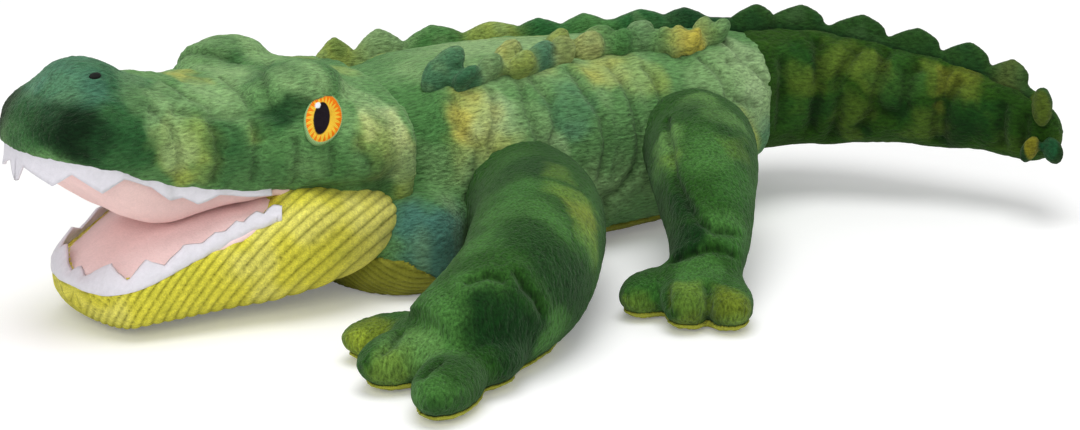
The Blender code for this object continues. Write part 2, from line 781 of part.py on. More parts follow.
def nose_top(u, v, wide, top, middle):
    """The higher of the snout's and the nose bump's surfaces over a point."""
    snout = middle + (top - middle) * (1 - (v / wide) ** HEAD_BULGE) ** (1 / HEAD_BULGE)
    length, width, height = NOSE_RADII
    bump = 1 - ((u - NOSE_U) / length) ** 2 - (v / width) ** 2
    return max(snout, NOSE_Z + height * math.sqrt(max(bump, 0.0)))


def throat():
    """The corduroy under the head's rear, hollowed for the jaw's barrel and for the neck."""
    top = HINGE_Z + BARREL_RADIUS + TURN_GAP - GAP
    rings = []
    for share in (-1.0, -0.5, 0.0, 0.5, 1.0):
        u = HEAD_REAR + THROAT_LENGTH * share
        drop = THROAT_MIDDLE - THROAT_FLOOR
        rise = HEAD_TOP - THROAT_MIDDLE
        rings.append(section((u, 0.0, THROAT_MIDDLE), ACROSS, THROAT_HALF_WIDTH, rise, drop, SIDES))
    low_side = [(-OVERRUN, -OVERRUN), (2 * OVERRUN, -OVERRUN), (2 * OVERRUN, top), (-OVERRUN, top)]
    form = trim(loft("throat", rings), side_prism(low_side, 2 * OVERRUN))
    barrel = side_prism(barrel_points(BARREL_RADIUS + TURN_GAP, math.pi, BARREL_STEP - math.pi), 2 * OVERRUN)
    return cut(cut(cut(form, barrel), behind_rim()), neck_ball())


def upper_outline():
    """The lip's outline from above as (u, half width) at the lip's plane, inside the skin."""
    outline = []
    for row in HEAD_SECTION_SHARES:
        u, wide, _, middle, drop = head_row(row[0])
        if u > HINGE_U + LINING_START:
            share = (middle - lip_level(u)) / drop
            outline.append((u, wide * (1 - share ** HEAD_BULGE) ** (1 / HEAD_BULGE)))
    return outline


def lower_outline():
    """The jaw's outline from above as (u, half width) at its top plane."""
    outline = []
    for along, wide, _ in JAW_SECTION_SHARES:
        u = HINGE_U + JAW_LENGTH * along
        if u > HINGE_U + LINING_START:
            outline.append((u, JAW_HALF_WIDTH * wide))
    return outline


def lining_width(outline, u):
    """The half width left for a lining inside the row of teeth."""
    us = [place for place, _ in outline]
    widths = [wide for _, wide in outline]
    inner = FELT_INSET + FELT + 2 * GAP
    return float(numpy.interp(u + inner, us, widths)) - inner


def lining_solid(outline, level, bulge, below):
    """A padded lining along an outline, bulging away from its plane."""
    first = outline[0][0]
    last = outline[-1][0] - FELT_INSET - FELT - SKIN
    rings = []
    for step in range(LINING_RINGS + 1):
        u = first + (last - first) * step / LINING_RINGS
        depth = min(bulge, LINING + (u - HINGE_U) * TOOTH_GROWTH / 2)
        wide = lining_width(outline, u)
        rise, drop = (LINING, depth) if below else (depth, LINING)
        rings.append(section((u, 0.0, level(u)), ACROSS, wide, rise, drop, LIMB_SIDES))
    return loft("lining", rings)


def palate():
    return cut(lining_solid(upper_outline(), lip_level, PALATE_BULGE, True), over_lip(GAP))


def tooth_strip(outline, level, way):
    """A felt strip round an outline, with a zigzag edge of pointed teeth.

    way is 1 for teeth that point up from the plane and -1 for teeth that point down.
    """
    inset = FELT_INSET + FELT / 2
    side = [Vector((u, wide - inset)) for u, wide in outline[:-1]]
    side.append(Vector((outline[-1][0] - inset, 0.0)))
    path = side + [Vector((point.x, -point.y)) for point in side[-2::-1]]
    lengths = [0.0]
    for before, after in zip(path, path[1:]):
        lengths.append(lengths[-1] + (after - before).length)
    steps = 4 * TEETH_A_SIDE
    rings = []
    for step in range(steps + 1):
        travel = lengths[-1] * step / steps
        point = Vector([float(numpy.interp(travel, lengths, [place[axis] for place in path])) for axis in (0, 1)])
        ahead = min(travel + FELT, lengths[-1])
        behind = max(travel - FELT, 0.0)
        ends = [
            Vector([float(numpy.interp(where, lengths, [place[axis] for place in path])) for axis in (0, 1)])
            for where in (behind, ahead)
        ]
        along = (ends[1] - ends[0]).normalized()
        across = Vector((along.y, -along.x, 0.0)) * FELT / 2
        base = Vector((point.x, point.y, level(point.x) + way * GAP))
        reach = (point.x - HINGE_U) * TOOTH_GROWTH
        tooth = TOOTH_BAND + (min(TOOTH_HEIGHT, reach) - TOOTH_BAND) * (step % 2)
        edge = base + UP * way * max(min(tooth, reach), FELT / 2)
        rings.append([base + across, edge + across, edge - across, base - across])
    return loft("teeth", rings)


def add_jaw_parts(jaw, hinge):
    """The lower jaw: corduroy skin, fill, floor lining and teeth."""
    def rings(inset):
        found = []
        for along, wide, lift in JAW_SECTION_SHARES:
            u = HINGE_U + (JAW_LENGTH - inset) * along
            level = jaw_level(u) + JAW_LIFT
            drop = level - (HINGE_Z - BARREL_RADIUS + BARREL_RADIUS * lift) - inset
            half_width = max(JAW_HALF_WIDTH * wide - inset, SKIN / 2)
            found.append(section((u, 0.0, level), ACROSS, half_width, JAW_RISE, max(drop, SKIN), SIDES))
        return loft("jaw", found)

    far = HINGE_U + JAW_LENGTH + BARREL_RADIUS / 2
    high = HINGE_Z + OVERRUN
    open_from = HINGE_U + LINING_START

    def profile(inset, opened):
        """The jaw's side outline round the hinge, open upward for the cavity."""
        radius = BARREL_RADIUS - inset
        outline = barrel_points(radius, -JAW_SLOPE, -math.pi)
        outline.append((far, HINGE_Z - radius))
        if opened:
            outline += [(far, high), (open_from, high), (open_from, jaw_level(open_from) - inset)]
        elif inset:
            outline += [(far, jaw_level(far)), (open_from + inset / 4, jaw_level(open_from + inset / 4))]
            outline.append((open_from + inset / 4, jaw_level(open_from) - inset))
        else:
            outline.append((far, jaw_level(far)))
        return side_prism(outline, 2 * OVERRUN)

    skin = trim(rings(0.0), profile(0.0, False))
    skin = cut(skin, trim(rings(SKIN), profile(SKIN, True)))
    finish_piece(skin, "jaw_skin", "corduroy", (jaw, hinge))
    fill = trim(rings(SKIN + FILL_GAP), profile(SKIN + FILL_GAP, False))
    finish_piece(fill, "jaw_stuffing", "fill", (jaw, hinge))
    below_floor = [(HINGE_U, -OVERRUN), (far, -OVERRUN), (far, jaw_level(far) + GAP)]
    bend_u = HINGE_U - BARREL_RADIUS * math.sin(JAW_SLOPE)
    below_floor += [(bend_u, jaw_level(bend_u) + GAP), (HINGE_U, jaw_level(HINGE_U) + GAP)]
    floor = lining_solid(lower_outline(), jaw_level, FLOOR_BULGE, False)
    finish_piece(cut(floor, side_prism(below_floor, 2 * OVERRUN)), "mouth_floor", "lining", (jaw, hinge))
    teeth = tooth_strip(lower_outline(), jaw_level, 1)
    finish_piece(teeth, "lower_teeth", "felt", (jaw, hinge))


def add_leg(name, side, start, plane, radius, reach, advance, shares, foot_sizes):
    """A leg's skin, fill and sole. side is 1 on the left, which is -Y, and -1 on the right."""
    pad_radii, full_length, toe_half_width, toe_turns, length_shares = foot_sizes
    hip = Vector((start[0], -side * plane, start[1]))
    pivot = add_pivot(f"{name}_pivot", hip)
    places = []
    for ahead, out, high, thick in shares:
        place = Vector((start[0] - advance * ahead, -side * (plane + reach * out), start[1] * high))
        places.append((place, radius * thick))

    def limb(inset):
        rings = []
        for step, (place, thickness) in enumerate(places):
            before = places[max(step - 1, 0)][0]
            after = places[min(step + 1, len(places) - 1)][0]
            along = (after - before).normalized()
            across = UP.cross(along).normalized()
            over = along.cross(across).normalized()
            half = thickness - inset
            rings.append(section(place, across, half, half, half, LIMB_SIDES, ROUND, ROUND, over))
        return loft("limb", rings)

    foot_place = places[-1][0]
    ahead = Vector((-1.0, 0.0, 0.0))

    def foot():
        """A pad with three toes, a little below the floor until it is cut flat."""
        half_height = FOOT_HEIGHT / 2
        base = Vector((foot_place.x, foot_place.y, half_height - FLAT_CUT))
        form = oval(base, (*pad_radii, half_height))
        for turn, length_share, height_share in zip(toe_turns, length_shares, TOE_HEIGHT_SHARES):
            toe_length = full_length * length_share
            toe_height = half_height * height_share
            direction = Matrix.Rotation(side * turn, 3, "Z") @ ahead
            middle_place = base + direction * toe_length / 2
            middle_place.z = toe_height - FLAT_CUT
            radii = (toe_length / 2 + toe_half_width, toe_half_width, toe_height)
            join(form, oval(middle_place, radii, 0.0, side * turn))
        return form

    def inner_side():
        low = -side * plane
        near = (low, side * OVERRUN)
        return box_between(
            (start[0] - 2 * OVERRUN, min(near), -OVERRUN),
            (start[0] + 2 * OVERRUN, max(near), 2 * OVERRUN),
        )

    skin = join(limb(0.0), foot())
    skin = cut(cut(cut(skin, below_level(SOLE + GAP)), inner_side()), limb(SKIN))
    finish_piece(skin, f"{name}_skin", "plush", (pivot, hip))
    fill = cut(cut(limb(SKIN + FILL_GAP), below_level(SOLE + GAP)), inner_side())
    finish_piece(fill, f"{name}_stuffing", "fill", (pivot, hip))
    sole = cut(cut(foot(), below_level(0.0)), above_level(SOLE))
    finish_piece(sole, f"{name}_sole", "sole", (pivot, hip))


def add_limbs():
    front_foot = (
        FRONT_PAD_RADII, FRONT_TOE_LENGTH, FRONT_TOE_HALF_WIDTH, FRONT_TOE_TURNS, FRONT_TOE_LENGTH_SHARES,
    )
    hind_foot = (
        HIND_PAD_RADII, HIND_TOE_LENGTH, HIND_TOE_HALF_WIDTH, HIND_TOE_TURNS, HIND_TOE_LENGTH_SHARES,
    )
    right_advance = FRONT_LEG_ADVANCE * RIGHT_ADVANCE_SHARE
    for name, side, front_advance in (("left", 1, FRONT_LEG_ADVANCE), ("right", -1, right_advance)):
        add_leg(
            f"{name}_front_leg", side, FRONT_LEG_START, FRONT_LEG_PLANE, FRONT_LEG_RADIUS,
            FRONT_LEG_REACH, front_advance, FRONT_LEG_SHARES, front_foot,
        )
        add_leg(
            f"{name}_hind_leg", side, HIND_LEG_START, HIND_LEG_PLANE, HIND_LEG_RADIUS,
            HIND_LEG_REACH, HIND_LEG_ADVANCE, HIND_LEG_SHARES, hind_foot,
        )


clear_scene()
neck_pivot = add_pivot("neck_pivot", (NECK_X, 0.0, 0.0), None, math.pi + HEADING)
hinge_place = Vector((HINGE_U, 0.0, HINGE_Z))
jaw_pivot = add_pivot("jaw_pivot", hinge_place, neck_pivot)
add_body_parts()
add_head_parts(neck_pivot)
add_jaw_parts(jaw_pivot, hinge_place)
add_limbs()
add_tail_parts()
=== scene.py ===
import itertools
import math

import bmesh
import bpy
import numpy as np
from mathutils import Matrix, Vector
from mathutils.bvhtree import BVHTree
from mathutils.kdtree import KDTree


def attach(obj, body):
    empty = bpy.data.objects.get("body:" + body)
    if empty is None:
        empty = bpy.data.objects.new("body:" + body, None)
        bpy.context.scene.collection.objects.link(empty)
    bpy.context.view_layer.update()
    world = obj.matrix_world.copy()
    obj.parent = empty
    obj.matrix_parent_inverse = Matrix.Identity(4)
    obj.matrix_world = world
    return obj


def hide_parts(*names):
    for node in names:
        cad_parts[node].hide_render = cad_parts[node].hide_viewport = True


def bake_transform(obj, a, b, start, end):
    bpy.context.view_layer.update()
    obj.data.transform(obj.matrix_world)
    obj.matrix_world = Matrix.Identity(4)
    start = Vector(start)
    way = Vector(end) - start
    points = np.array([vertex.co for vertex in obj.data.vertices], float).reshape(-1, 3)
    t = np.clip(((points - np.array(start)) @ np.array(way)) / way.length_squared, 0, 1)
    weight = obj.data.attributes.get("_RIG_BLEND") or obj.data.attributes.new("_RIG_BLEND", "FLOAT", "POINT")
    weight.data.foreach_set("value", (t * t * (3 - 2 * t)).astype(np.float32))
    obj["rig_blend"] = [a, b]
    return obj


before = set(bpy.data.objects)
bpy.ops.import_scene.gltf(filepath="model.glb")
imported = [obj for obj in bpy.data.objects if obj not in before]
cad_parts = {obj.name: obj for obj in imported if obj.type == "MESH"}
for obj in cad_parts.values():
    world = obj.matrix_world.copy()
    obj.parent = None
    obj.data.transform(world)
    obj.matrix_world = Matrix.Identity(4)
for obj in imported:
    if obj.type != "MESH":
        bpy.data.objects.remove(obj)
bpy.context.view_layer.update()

# The part's own sizes, in metres
NECK = np.array([-0.072, 0.0, 0.0])
HEADING = math.radians(10)
BODY_LENGTH = 0.1715
BODY_HALF_WIDTH = 0.051
BODY_HEIGHT = 0.079
TAIL_SHIFT = 0.005
TAIL_SEAM_TURN = math.radians(-15)
# Along, half width, bottom, top, bend towards the left
BODY_SHARES = (
    (0.000, 0.86, 0.00, 0.97, 0.0), (0.080, 0.96, 0.00, 1.00, 0.0), (0.210, 1.00, 0.00, 1.00, 0.0),
    (0.373, 0.98, 0.00, 0.99, 0.0), (0.513, 0.90, 0.00, 0.97, 0.0), (0.653, 0.88, 0.01, 0.955, 0.0),
    (0.805, 0.82, 0.10, 0.94, 0.1), (0.910, 0.69, 0.19, 0.92, 0.5), (1.000, 0.55, 0.25, 0.90, 1.0),
)
TAIL_LENGTH = 0.124
TAIL_HALF_WIDTH = 0.025
TAIL_HALF_HEIGHT = 0.026
TAIL_HEIGHT = 0.046
TAIL_RIM_SHARE = 0.6
TAIL_HEADINGS = ((0.0, -30), (0.25, -46), (0.5, -50), (0.75, -58), (1.0, -95))
# Along, half width, half height, centre height
TAIL_SHARES = (
    (0.00, 1.00, 1.00, 1.00), (0.20, 0.88, 0.90, 0.99), (0.40, 0.74, 0.79, 0.965),
    (0.60, 0.60, 0.69, 0.93), (0.80, 0.50, 0.58, 0.86), (0.93, 0.40, 0.44, 0.80),
    (1.00, 0.14, 0.16, 0.77),
)
HEAD_REAR = 0.028
HEAD_LENGTH = 0.145
HEAD_HALF_WIDTH = 0.052
HEAD_TOP = 0.105
# Along, half width, top, widest level
HEAD_SHARES = (
    (-0.10, 0.93, 0.795, 0.56), (0.000, 0.96, 0.80, 0.57), (0.108, 1.00, 0.83, 0.58),
    (0.230, 0.93, 0.84, 0.60), (0.365, 0.80, 0.85, 0.62), (0.507, 0.68, 0.87, 0.66),
    (0.635, 0.60, 0.914, 0.71), (0.757, 0.57, 0.98, 0.78), (0.865, 0.54, 0.99, 0.82),
    (0.940, 0.45, 0.955, 0.84), (0.980, 0.29, 0.905, 0.84), (1.000, 0.08, 0.86, 0.845),
)
HINGE_U = 0.074
HINGE_Z = 0.025
BARREL = 0.021
LIP_SLOPE = math.radians(16)
JAW_SLOPE = math.radians(-19.5)

# The photograph's camera, and its picture size in pixels
CAMERA_TARGET = np.array([-0.0574890512, -0.0979149029, 0.04])
CAMERA_AZIMUTH = math.radians(-30)
CAMERA_ELEVATION = math.radians(18)
CAMERA_DISTANCE = 1.2
LENS = 105.0
SENSOR = 36.0
PICTURE = (1080.0, 430.0)

CAMERA_BACK = np.array([
    math.sin(CAMERA_AZIMUTH) * math.cos(CAMERA_ELEVATION),
    -math.cos(CAMERA_AZIMUTH) * math.cos(CAMERA_ELEVATION),
    math.sin(CAMERA_ELEVATION),
])
CAMERA_RIGHT = np.array([math.cos(CAMERA_AZIMUTH), math.sin(CAMERA_AZIMUTH), 0.0])
CAMERA_UP = np.cross(CAMERA_BACK, CAMERA_RIGHT)
CAMERA_PLACE = CAMERA_TARGET + CAMERA_BACK * CAMERA_DISTANCE
FOCAL = LENS / SENSOR * PICTURE[0]

UPRIGHT = np.array([0.0, 0.0, 1.0])
# The lowest that plush and thin cloth reach above the floor
PLUSH_BOTTOM = 0.0012
CLOTH_BOTTOM = 0.0002

# Colours, as the cloth shows them
DEEP = (0.012, 0.060, 0.018)
DARK = (0.026, 0.125, 0.034)
GREEN = (0.075, 0.215, 0.058)
MID = (0.115, 0.262, 0.085)
SAGE = (0.225, 0.365, 0.150)
PALE = (0.330, 0.460, 0.230)
TEAL = (0.070, 0.205, 0.155)
OLIVE = (0.270, 0.350, 0.075)
OCHRE = (0.480, 0.430, 0.085)
YELLOW = (0.560, 0.560, 0.080)
TAIL_GREEN = (0.050, 0.135, 0.018)
CREST_GREEN = (0.045, 0.150, 0.028)


def head_place(u, v, z):
    """A point of the head's own frame (forward, left, up) in the row frame."""
    forward = np.array([-math.cos(HEADING), -math.sin(HEADING), 0.0])
    left = np.array([math.sin(HEADING), -math.cos(HEADING), 0.0])
    u, v, z = np.broadcast_arrays(np.asarray(u, float), v, z)
    return NECK + u[..., None] * forward + v[..., None] * left + z[..., None] * UPRIGHT


def head_frame(points):
    """Points of the row frame as forward, left and up in the head's frame."""
    off = points - NECK
    u = -off[:, 0] * math.cos(HEADING) - off[:, 1] * math.sin(HEADING)
    v = off[:, 0] * math.sin(HEADING) - off[:, 1] * math.cos(HEADING)
    return u, v, off[:, 2]


def read_table(table, places):
    """Smooth values of a table's columns at places along it, with no overshoot between the rows."""
    rows = np.array(table, float)
    x = rows[:, 0]
    places = np.clip(np.asarray(places, float), x[0], x[-1])
    found = []
    for column in rows.T[1:]:
        slope = np.diff(column) / np.diff(x)
        tangent = np.empty_like(column)
        tangent[0] = slope[0]
        tangent[-1] = slope[-1]
        product = slope[:-1] * slope[1:]
        total = np.where(product > 0, slope[:-1] + slope[1:], 1.0)
        tangent[1:-1] = np.where(product > 0, 2 * product / total, 0.0)
        k = np.clip(np.searchsorted(x, places, side="right") - 1, 0, len(x) - 2)
        span = x[k + 1] - x[k]
        t = (places - x[k]) / span
        value = column[k] * (1 + 2 * t) * (1 - t) ** 2 + column[k + 1] * t * t * (3 - 2 * t)
        value += span * (tangent[k] * t * (1 - t) ** 2 + tangent[k + 1] * t * t * (t - 1))
        found.append(value)
    return found


def power(value, exponent):
    """A power that keeps the value's sign."""
    return np.sign(value) * np.abs(value) ** exponent


def step_up(value, low, high):
    """Rises smoothly from 0 at low to 1 at high."""
    t = np.clip((value - low) / (high - low), 0.0, 1.0)
    return t * t * (3 - 2 * t)


def hump(value, width):
    """1 at 0, falling smoothly to nothing on both sides."""
    return np.exp(-(np.asarray(value) / width) ** 2)


def cloth_noise(points, cell, seed):
    """Smooth noise from -1 to 1. cell is the size of its patches, one number or one for each axis."""
    scaled = points / np.asarray(cell, float) + 0.37 * seed
    base = np.floor(scaled).astype(np.int64)
    part = scaled - base
    part = part * part * (3 - 2 * part)
    total = np.zeros(len(points))
    for corner in itertools.product((0, 1), repeat=3):
        key = base + np.array(corner)
        mixed = (key[:, 0] * 73856093) ^ (key[:, 1] * 19349663) ^ (key[:, 2] * 83492791) ^ (seed * 7919)
        mixed = ((mixed ^ (mixed >> 13)) * 1274126177) & 0x7FFFFFFF
        mixed = ((mixed ^ (mixed >> 11)) * 668265263) & 0x7FFFFFFF
        value = (mixed >> 7 & 0xFFFF) / 32767.5 - 1
        weight = np.prod(np.where(np.array(corner) == 1, part, 1 - part), axis=1)
        total += weight * value
    return total


def picture_place(points):
    """Where points of the row frame show in the photograph, in its pixels."""
    off = np.atleast_2d(points) - CAMERA_PLACE
    depth = -off @ CAMERA_BACK
    across = PICTURE[0] / 2 + FOCAL * (off @ CAMERA_RIGHT) / depth
    down = PICTURE[1] / 2 - FOCAL * (off @ CAMERA_UP) / depth
    return across, down


def surface_tree(piece):
    """A search tree over a piece's surface."""
    return BVHTree.FromObject(piece, bpy.context.evaluated_depsgraph_get())


def point_tree(points):
    """A search tree over points."""
    tree = KDTree(len(points))
    for index, point in enumerate(points):
        tree.insert(point, index)
    tree.balance()
    return tree


def unit(ways):
    """The same ways, each one long."""
    return ways / np.linalg.norm(ways, axis=-1, keepdims=True)


def surface_under(tree, across, down):
    """The point and normal of a surface behind a pixel of the photograph."""
    ray = -CAMERA_BACK + CAMERA_RIGHT * (across - PICTURE[0] / 2) / FOCAL
    ray = ray - CAMERA_UP * (down - PICTURE[1] / 2) / FOCAL
    place, normal, _, _ = tree.ray_cast(Vector(CAMERA_PLACE), Vector(ray).normalized())
    return place, normal


def add_object(name, data):
    """An object in the scene for a mesh, lamp or camera."""
    piece = bpy.data.objects.new(name, data)
    bpy.context.collection.objects.link(piece)
    return piece


def add_mesh(name, points, faces):
    """A smooth-shaded mesh whose faces point outward."""
    mesh = bpy.data.meshes.new(name)
    mesh.from_pydata([tuple(map(float, point)) for point in points], [], faces)
    mesh.validate()
    piece = add_object(name, mesh)
    turn_outward(mesh)
    mesh.shade_smooth()
    return piece


def turn_outward(mesh):
    shape = bmesh.new()
    shape.from_mesh(mesh)
    bmesh.ops.recalc_face_normals(shape, faces=shape.faces)
    shape.to_mesh(mesh)
    shape.free()


def ring_faces(rows, steps):
    """The faces between rings of points that follow one another."""
    faces = []
    for start in range(0, (rows - 1) * steps, steps):
        for step in range(steps):
            after = (step + 1) % steps
            faces.append((start + step, start + after, start + steps + after, start + steps + step))
    return faces


def add_loft(name, rings):
    """A closed form through rings of points, an array of ring by step by axis."""
    rings = np.asarray(rings, float)
    rows, steps, _ = rings.shape
    points = list(rings.reshape(-1, 3))
    faces = ring_faces(rows, steps)
    for row in (0, rows - 1):
        points.append(rings[row].mean(0))
        middle = len(points) - 1
        for step in range(steps):
            faces.append((row * steps + step, row * steps + (step + 1) % steps, middle))
    return add_mesh(name, points, faces)


def add_sheet(name, upper, lower):
    """A closed sheet between two grids of points, each an array of row by column by axis."""
    rows, columns, _ = upper.shape
    offset = rows * columns
    faces = []
    for row in range(rows - 1):
        for column in range(columns - 1):
            first = row * columns + column
            corners = (first, first + 1, first + columns + 1, first + columns)
            faces.append(corners)
            faces.append(tuple(offset + corners[number] for number in (0, 3, 2, 1)))
    rim = list(range(columns))
    rim += [row * columns + columns - 1 for row in range(1, rows)]
    rim += [(rows - 1) * columns + column for column in range(columns - 2, -1, -1)]
    rim += [row * columns for row in range(rows - 2, 0, -1)]
    for first, second in zip(rim, rim[1:] + rim[:1]):
        faces.append((first, offset + first, offset + second, second))
    return add_mesh(name, np.concatenate([upper.reshape(-1, 3), lower.reshape(-1, 3)]), faces)


def add_ball(name, centre, axes, bulge=2.0, steps=32, rows=16):
    """A rounded form about a centre, axes being its three half sizes as vectors."""
    axes = np.asarray(axes, float)
    rings = []
    for row in range(1, rows):
        lift = -math.cos(math.pi * row / rows)
        wide = math.sin(math.pi * row / rows) ** (2 / bulge)
        turns = np.linspace(0, 2 * math.pi, steps, endpoint=False)
        ring = wide * (np.cos(turns)[:, None] * axes[0] + np.sin(turns)[:, None] * axes[1])
        rings.append(np.asarray(centre) + ring + power(lift, 2 / bulge) * axes[2])
    return add_loft(name, rings)


def points_of(piece):
    found = np.empty(len(piece.data.vertices) * 3)
    piece.data.vertices.foreach_get("co", found)
    return found.reshape(-1, 3)


def normals_of(piece):
    found = np.empty(len(piece.data.vertices) * 3)
    piece.data.vertices.foreach_get("normal", found)
    return found.reshape(-1, 3)


def set_points(piece, points):
    piece.data.vertices.foreach_set("co", np.ascontiguousarray(points).ravel())
    piece.data.update()


def push_out(piece, amounts):
    """Moves each point out of the surface by its own amount."""
    set_points(piece, points_of(piece) + normals_of(piece) * amounts[:, None])


def keep_above(piece, level):
    """Flattens what lies lower than a level."""
    points = points_of(piece)
    points[:, 2] = np.maximum(points[:, 2], level)
    set_points(piece, points)
    return points


def apply_modifiers(piece):
    graph = bpy.context.evaluated_depsgraph_get()
    shape = bpy.data.meshes.new_from_object(piece.evaluated_get(graph))
    piece.modifiers.clear()
    old = piece.data
    piece.data = shape
    bpy.data.meshes.remove(old)
    shape.shade_smooth()


def fuse(name, solids, voxel, rounds):
    """One closed skin over several closed forms, with the steps between them softened."""
    shape = bmesh.new()
    for solid in solids:
        shape.from_mesh(solid.data)
        bpy.data.objects.remove(solid)
    mesh = bpy.data.meshes.new(name)
    shape.to_mesh(mesh)
    shape.free()
    piece = add_object(name, mesh)
    remesh = piece.modifiers.new("skin", "REMESH")
    remesh.mode = "VOXEL"
    remesh.voxel_size = voxel
    apply_modifiers(piece)
    relax(piece, rounds)
    return piece


def edge_ends(mesh):
    """The points at both ends of each edge."""
    edges = np.empty(len(mesh.edges) * 2, dtype=np.int64)
    mesh.edges.foreach_get("vertices", edges)
    return edges.reshape(-1, 2).T


def relax(piece, rounds):
    """Evens out a surface without shrinking it."""
    first, second = edge_ends(piece.data)
    points = points_of(piece)
    count = np.bincount(np.r_[first, second], minlength=len(points)).astype(float)[:, None]
    for _ in range(rounds):
        for strength in (0.55, -0.57):
            total = np.zeros_like(points)
            np.add.at(total, first, points[second])
            np.add.at(total, second, points[first])
            points = points + (total / np.maximum(count, 1) - points) * strength
    set_points(piece, points)


def refine(piece):
    """Divides each face in four and rounds the surface."""
    smooth = piece.modifiers.new("smooth", "SUBSURF")
    smooth.levels = 1
    smooth.render_levels = 1
    apply_modifiers(piece)


def delete_points(source, target, unwanted):
    """Fills a mesh with what another has besides its unwanted points."""
    shape = bmesh.new()
    shape.from_mesh(source)
    shape.verts.ensure_lookup_table()
    doomed = [shape.verts[int(index)] for index in np.nonzero(unwanted)[0]]
    bmesh.ops.delete(shape, geom=doomed, context="VERTS")
    shape.to_mesh(target)
    shape.free()


def cloth_patch(name, piece, chosen, lift, thickness):
    """A thin cloth over the chosen part of a surface, with its edges closed."""
    mesh = bpy.data.meshes.new(name)
    delete_points(piece.data, mesh, ~chosen)
    patch = add_object(name, mesh)
    largest_island(patch)
    push_out(patch, np.full(len(patch.data.vertices), lift))
    thick = patch.modifiers.new("thick", "SOLIDIFY")
    thick.thickness = thickness
    thick.offset = -1.0
    apply_modifiers(patch)
    return patch


def largest_island(piece):
    """Keeps only the largest connected part of a piece."""
    first, second = edge_ends(piece.data)
    labels = np.arange(len(piece.data.vertices))
    for _ in range(400):
        lowest = np.minimum(labels[first], labels[second])
        before = labels.copy()
        np.minimum.at(labels, first, lowest)
        np.minimum.at(labels, second, lowest)
        labels = labels[labels]
        if np.array_equal(before, labels):
            break
    delete_points(piece.data, piece.data, labels != np.bincount(labels).argmax())


# How closely points are set along a line, and how far from it they are looked for
LINE_SPACING = 0.0006
LINE_REACH = 0.012


def line_tree(lines):
    """A search tree over points set closely along polylines."""
    found = []
    for line in lines:
        line = np.asarray(line, float)
        for before, after in zip(line, line[1:]):
            count = max(1, int(np.linalg.norm(after - before) / LINE_SPACING))
            found.extend(before + (after - before) * step / count for step in range(count + 1))
    return point_tree(found)


def distance_to(lines, points):
    """Each point's distance to the nearest line. Points out of reach get a large distance."""
    if not lines:
        return np.full(len(points), 1.0)
    tree = line_tree(lines)
    low = np.min([np.min(line, axis=0) for line in lines], axis=0) - LINE_REACH
    high = np.max([np.max(line, axis=0) for line in lines], axis=0) + LINE_REACH
    inside = np.all((points > low) & (points < high), axis=1)
    found = np.full(len(points), 1.0)
    for index in np.nonzero(inside)[0]:
        found[index] = tree.find(points[index])[2]
    return found


def laid_on(piece, lines):
    """The same lines, moved onto a piece's surface."""
    tree = surface_tree(piece)
    found = []
    for line in lines:
        line = np.asarray(line, float)
        dense = [line[0]]
        for before, after in zip(line, line[1:]):
            count = max(1, int(np.linalg.norm(after - before) / 0.002))
            dense.extend(before + (after - before) * (step + 1) / count for step in range(count))
        found.append(np.array([tree.find_nearest(Vector(point))[0] for point in dense]))
    return found


CLOTH_PRESSURE = 4.0
CLOTH_FRAMES = 20


def inflate(piece, pinned, cap):
    """Swells a sewn skin with Blender's cloth, held along its seams."""
    group = piece.vertex_groups.new(name="sewn")
    for index in np.nonzero(pinned)[0]:
        group.add([int(index)], 1.0, "REPLACE")
    cloth = piece.modifiers.new("cloth", "CLOTH")
    cloth.settings.use_pressure = True
    cloth.settings.uniform_pressure_force = CLOTH_PRESSURE
    cloth.settings.vertex_group_mass = group.name
    cloth.settings.effector_weights.gravity = 0.0
    cloth.settings.quality = 5
    cloth.point_cache.frame_start = 1
    cloth.point_cache.frame_end = CLOTH_FRAMES
    rest = points_of(piece)
    scene = bpy.context.scene
    for number in range(1, CLOTH_FRAMES + 1):
        scene.frame_set(number)
    graph = bpy.context.evaluated_depsgraph_get()
    swollen = piece.evaluated_get(graph).to_mesh()
    points = np.empty(len(rest) * 3)
    swollen.vertices.foreach_get("co", points)
    piece.evaluated_get(graph).to_mesh_clear()
    piece.modifiers.clear()
    piece.vertex_groups.clear()
    scene.frame_set(1)
    move = points.reshape(-1, 3) - rest
    length = np.linalg.norm(move, axis=1, keepdims=True)
    move *= np.minimum(1.0, cap / np.maximum(length, 1e-9))
    set_points(piece, rest + move)


def carve(piece, lines, depth, width, puff):
    """Presses seam lines into a surface, which puffs up a little beside them."""
    distance = distance_to(lines, points_of(piece))
    seam = hump(distance, width)
    swell = hump(distance - 3.2 * width, 1.8 * width)
    push_out(piece, puff * swell - depth * seam)


def quilted(piece, lines, depth, width, puff):
    """Refines a skin twice, with its seams pressed in between, and returns the seams on its surface."""
    refine(piece)
    lines = laid_on(piece, lines)
    carve(piece, lines, depth, width, puff)
    refine(piece)
    return lines


def add_pile(piece, nap, height, seed):
    """Short pile: small tufts in rows along the nap, which stand out of the surface."""
    points = points_of(piece)
    nap = unit(np.asarray(nap, float))
    side = unit(np.cross(nap, UPRIGHT))
    basis = np.stack([nap, side, np.cross(nap, side)])
    local = points @ basis.T
    warp = np.stack([cloth_noise(points, cell=0.012, seed=seed + k) for k in (3, 4, 5)], axis=1)
    local = local + 0.0022 * warp
    tufts = cloth_noise(local, cell=(0.0040, 0.0013, 0.0013), seed=seed)
    tufts += 0.6 * cloth_noise(local, cell=(0.0022, 0.0010, 0.0010), seed=seed + 9)
    clumps = cloth_noise(points, cell=0.0075, seed=seed + 2)
    push_out(piece, height * (0.55 * tufts + 0.30 * clumps))


